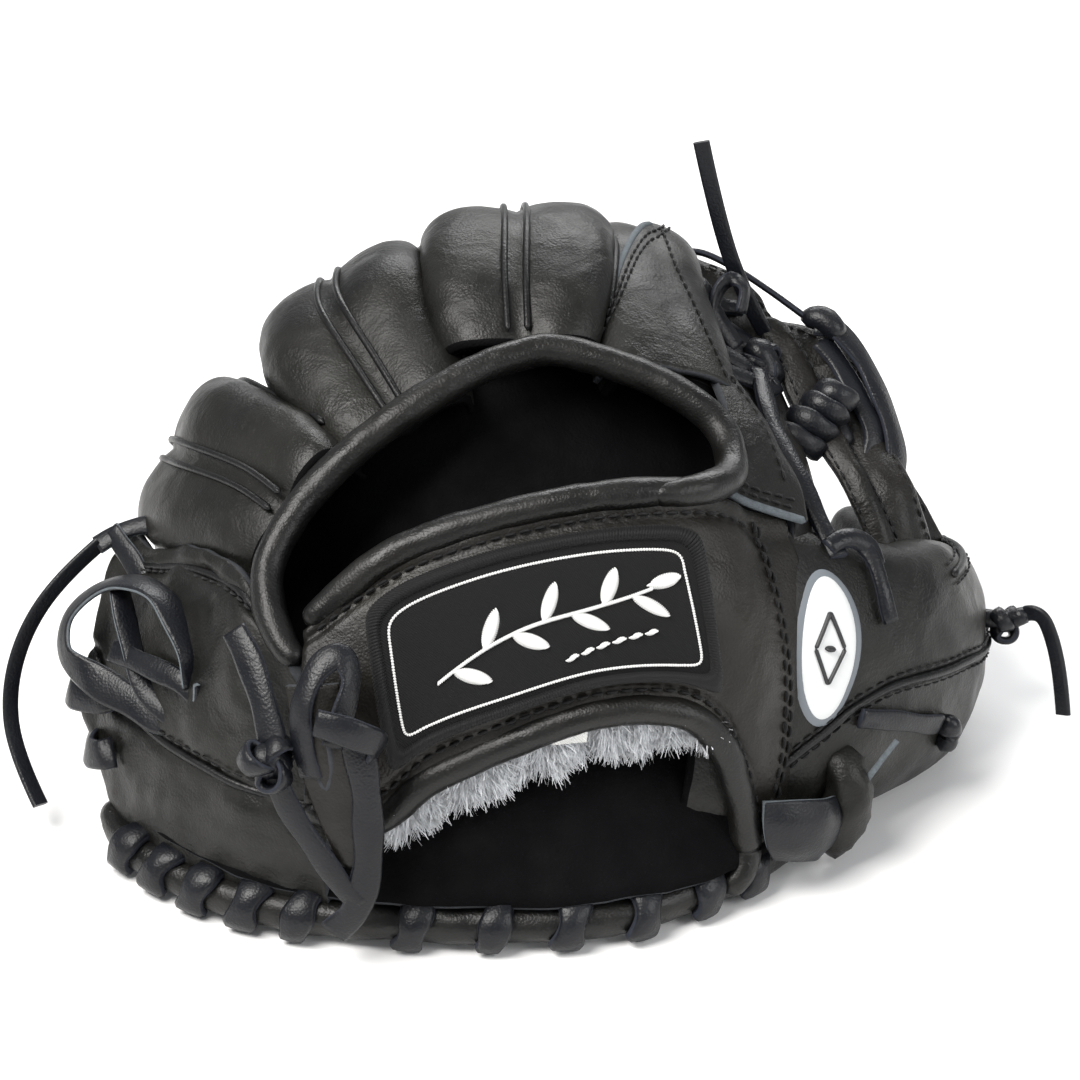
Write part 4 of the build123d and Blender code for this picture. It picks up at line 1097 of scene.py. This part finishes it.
EDGE_LACES = {  # route, direction it faces (one, or one per point) and width
    "root": ([(-108, 14, 79), (-115, 14.5, 78.5), (-122, 13.5, 76.5), (-128, 11.5, 73.5)],
             (-0.3, -0.6, 0.7), 5.6),
    "stub": ([(-124, 14, 77), (-121, 10, 75), (-116, 3, 71), (-112, -5, 65)], (-0.5, -0.7, 0.5), 6.4),
    "loop": (
        [(-95, -42, 60), (-97, -38, 69), (-105, -26, 78), (-116, -15, 77), (-127, -9, 70), (-135, -9, 61),
         (-135, -16, 53), (-126, -24, 50), (-114, -33, 48), (-104, -40, 47), (-96, -46, 52)],
        [(0.6, -0.6, 0.4), (0.5, -0.5, 0.7), (0.1, 0.2, 1), (-0.2, 0.3, 1), (-0.6, 0.3, 0.8),
         (-0.9, 0.0, 0.3),
         (-0.6, -0.7, -0.2), (-0.2, -0.8, 0.5), (-0.2, -0.8, 0.6), (0.1, -0.8, 0.6), (0.5, -0.7, 0.5)], 9.5),
    "strand": (
        [(-119, -13, 73), (-117, -19, 67), (-114, -27, 59), (-110, -34, 52), (-104, -40, 49), (-98, -45, 50),
         (-94, -47, 56), (-93, -46, 63)],
        [(0.5, -0.8, 0.3), (0.5, -0.8, 0.3), (0.4, -0.8, 0.4), (0.2, -0.8, 0.5), (0, -0.8, 0.6),
         (0.2, -0.9, 0.4), (0.6, -0.8, 0.1), (0.7, -0.7, 0.1)], 6.5),
    "crossing": ([(-121, -21, 58), (-114, -29, 60), (-107, -36, 61), (-100, -42, 61), (-94, -46, 58)],
                 (-0.1, -0.8, 0.6), 6.5),
}
attach("little_finger_edge_lacing", [ribbon(*lace, edge=RAW) for lace in EDGE_LACES.values()], "pinky",
       "pinky_edge_lace")
loops = []
for y, z, reach in ((-23, 27, 129), (-13, 40, 134)):
    route = [(-121, y - 9, z + 4), (-125, y - 9, z + 3), (-reach, y - 3, z), (-reach, y + 5, z - 1),
             (-127, y + 11, z + 1)]
    loops.append(ribbon(route, (-0.8, -0.5, 0.3), 9.0, 2.2))
attach("little_finger_side_loops", loops, "pinky", "pinky_edge_loops")

TAB = Sheet([
    [(-67, -77, 82), (-65, -83, 68), (-61, -87, 52), (-54, -89, 35)],
    [(-60, -80, 84), (-58, -86, 69), (-55, -88, 52), (-51, -90, 33)],
    [(-53, -79, 84), (-50, -85, 69), (-49, -88, 52), (-48, -90, 34)],
])
u, v = net(20, 40, (0.04, 0.96))
flap = slab(TAB.at(u, v, 0.6), TAB.at(u, v, -2.4), STRAP_SKIN, RAW_DARK)
slot_rim = ribbon([(-61, -87.5, 70), (-59.5, -88.6, 62), (-57, -89.4, 57), (-55.5, -89, 63), (-56, -88, 71)],
                  (0, -1, 0.3), 1.4, 1.0, RAW_DARK, RAW_DARK)
attach("strap_tongue", [flap, slot_rim], "palm", "strap_tab")

STRAP_LACES = {  # route, direction it faces (one, or one per point), width and thickness
    "stub": ([(-82, -64, 91), (-78, -70, 86), (-74, -78, 78), (-71, -85, 69)], (-0.3, -0.8, 0.5), 7.6, 2.0),
    "bar": ([(-71, -88, 62), (-67, -90, 51), (-60, -92, 39), (-54, -93, 29), (-49, -93, 22)],
            (-0.3, -0.9, 0.3), 6.6, 2.2),
    "loop": (
        [(-61, -88, 60), (-63, -87, 70), (-63, -84, 80), (-59, -79, 88), (-53, -77, 91), (-50, -80, 86),
         (-52, -85, 78), (-55, -89, 70)],
        [(-0.5, -0.8, 0.2), (-0.5, -0.8, 0.3), (-0.6, -0.7, 0.3), (-0.5, -0.7, 0.6), (0, -0.6, 0.8),
         (0.7, -0.5, 0.4), (0.6, -0.7, 0.3), (0.5, -0.8, 0.2)], 7.0, 2.0),
    "crossing": (
        [(-59, -91, 79), (-53, -92.5, 78), (-47, -92, 75), (-43, -89, 71), (-44, -86, 66)],
        [(-0.2, -0.9, 0.3), (0, -1, 0.3), (0.1, -1, 0.2), (0.7, -0.7, 0), (0.8, -0.4, -0.4)], 8.0, 2.2),
    "long": ([(-50, -86, 73), (-47, -89, 62), (-46, -91, 48), (-46.5, -92.5, 33), (-50, -93, 20),
              (-56, -92, 12)],
             (0.1, -1, 0.2), 8.2, 2.2),
}
attach("strap_lacing", [ribbon(*lace) for lace in STRAP_LACES.values()], "palm", "strap_lace")
strap_knot = [knot((-72, -87, 64), 2.7, (0.3, -0.8, 0.4), 6.2),
              tube([(-75, -86, 69), (-72, -86, 64), (-70, -87, 58)], 5.2, LACE, wear=0.8)]
attach("strap_lace_knot", strap_knot, "palm", "strap_knot")

# Wide flat loop at the thumb's heel, with its cut edge showing, round a soft gathered bulge.
HEEL_LOOP = Sheet([
    [(62, -60, 33), (62, -62, 27), (63, -62, 20), (65, -60, 14)],
    [(70, -58, 32), (70, -61, 26), (71, -61, 18), (72, -58, 12)],
    [(78, -53, 29), (79, -56, 23), (78, -56, 15), (77, -53, 9)],
    [(82, -47, 26), (84, -49, 20), (82, -49, 12), (79, -47, 7)],
])
u, v = net(30, 20)
heel_loop = slab(HEEL_LOOP.at(u, v, 1.2), HEEL_LOOP.at(u, v, -1.2), LACE, RAW, wear=0.5)
attach("heel_loop", [heel_loop], "thumb_fold", "thumb_lace_loop")
bulge = tube([(84, -38, 36), (87, -42, 27), (87, -43, 17), (84, -43, 9), (80, -41, 5)],
             [4.0, 6.5, 7.5, 6.5, 4.0],
             SHELL, sides=24, flatten=0.8, facing=(0.3, -0.8, 0.4), wear=1.5)
bulge_edge = ribbon([(90, -44, 18), (91, -43, 26), (96, -39, 32), (101, -34, 36)], (-0.5, -0.7, 0.6), 1.6,
                    1.2,
                    RAW, RAW)
attach("thumb_heel_bulge", [bulge, bulge_edge], "thumb_fold")

s, across = sample(SIDE_LACE, np.linspace(0, 1, 9)).T
facing = unit(on_thumb(s, across, 1.5) - on_thumb(s, across))
side_lace = ribbon(on_thumb(s, across, 1.8), facing, 6.0)
side_end = tube(on_thumb(*np.array(SIDE_LACE_END).T, 2.2), 3.8, LACE, flatten=0.8)
attach("thumb_side_lacing", [side_lace, side_end], "thumb", "thumb_side_lace")
thumb_knot = [
    knot((139.5, 33, 34), 1.9, (0.8, -0.5, 0.2), 4.6),
    tube([(129, 34, 36), (135, 33.5, 35.5), (140, 33, 35), (144, 32, 37.3), (146.5, 31.2, 38.8)], 2.8, LACE)]
attach("thumb_lace_knot", thumb_knot, "thumb", "thumb_knot")


# ---- loose lace ends ----
def tail(name, points, body, node):
    """A free flat lace end, drawn along its control points."""
    curve = bpy.data.curves.new(name, "CURVE")
    curve.dimensions = "3D"
    curve.extrude = (LACE_W - LACE_T) / 2 * MM
    curve.bevel_depth = LACE_T / 2 * MM
    curve.bevel_resolution = 3
    curve.use_fill_caps = True
    line = curve.splines.new("NURBS")
    line.points.add(len(points) - 1)
    for control, point in zip(line.points, place(points)):
        control.co = (*point, 1)
    line.order_u = 3
    line.use_endpoint_u = True
    line.resolution_u = 24
    curve.materials.append(LACE)
    obj = bpy.data.objects.new(name, curve)
    bpy.context.scene.collection.objects.link(obj)
    attach(name, [obj], body, node)


tail("left_lace_end", [(-127, 12, 74), (-138, 7, 66), (-149, 0, 52), (-154, -8, 36), (-152, -17, 21),
                       (-144, -28, 10)], "pinky", "left_tail")
tail("top_lace_end", [(67, 72, 112), (59, 73, 127), (51.5, 75, 151), (47, 78, 171)], "palm", "top_tail")
tail("right_lace_end", [(145.5, 31.5, 38.5), (149, 29, 41), (153, 26, 33), (156, 23, 20), (157, 20, 10)],
     "thumb",
     "right_tail")

# ---- studio ----
bpy.ops.mesh.primitive_plane_add(size=6, location=(0, 1.2, -0.0005))
floor = bpy.context.object
floor.name = "floor"
floor.data.materials.append(Look("studio_floor", (0.93, 0.93, 0.93), 0.9, specular=0.2).material)

world = bpy.data.worlds.new("studio_world")
bpy.context.scene.world = world
world.use_nodes = True
world.node_tree.nodes["Background"].inputs["Color"].default_value = (0.95, 0.97, 1.0, 1)
world.node_tree.nodes["Background"].inputs["Strength"].default_value = 0.36


def softbox(name, location, size, power, colour=(1, 1, 1)):
    """An area light aimed at the glove."""
    light = bpy.data.lights.new(name, "AREA")
    light.shape = "RECTANGLE"
    light.size, light.size_y = size
    light.energy = power
    light.color = colour
    obj = bpy.data.objects.new(name, light)
    obj.location = location
    obj.rotation_euler = (Vector((0, 0, 0.07)) - Vector(location)).to_track_quat("-Z", "Y").to_euler()
    bpy.context.scene.collection.objects.link(obj)


softbox("key", (-0.6, -0.45, 1.15), (0.8, 0.6), 26, (1.0, 0.98, 0.95))
softbox("fill", (1.0, -0.6, 0.7), (0.7, 0.7), 7)
softbox("back", (0.2, 1.1, 0.9), (1.2, 0.5), 14)
bpy.context.scene.view_settings.view_transform = "Standard"

camera_data = bpy.data.cameras.new("camera")
camera = bpy.data.objects.new("camera", camera_data)
bpy.context.scene.collection.objects.link(camera)
bpy.context.scene.camera = camera
AIM = Vector(place((0, 0, 82)))
ELEVATION = math.radians(30)
DISTANCE = 1.0
camera.location = AIM + Vector((0, -math.cos(ELEVATION), math.sin(ELEVATION))) * DISTANCE
camera.rotation_euler = (AIM - camera.location).to_track_quat("-Z", "Y").to_euler()
camera_data.sensor_width = 36
camera_data.lens = 117.0

bpy.context.view_layer.update()
lowest, highest = np.full(3, 1e9), np.full(3, -1e9)
for obj in bpy.context.scene.objects:
    if obj.type in ("MESH", "CURVE") and not obj.hide_render and obj != floor:
        corners = np.array([obj.matrix_world @ Vector(c) for c in obj.bound_box])
        lowest = np.minimum(lowest, corners.min(0))
        highest = np.maximum(highest, corners.max(0))
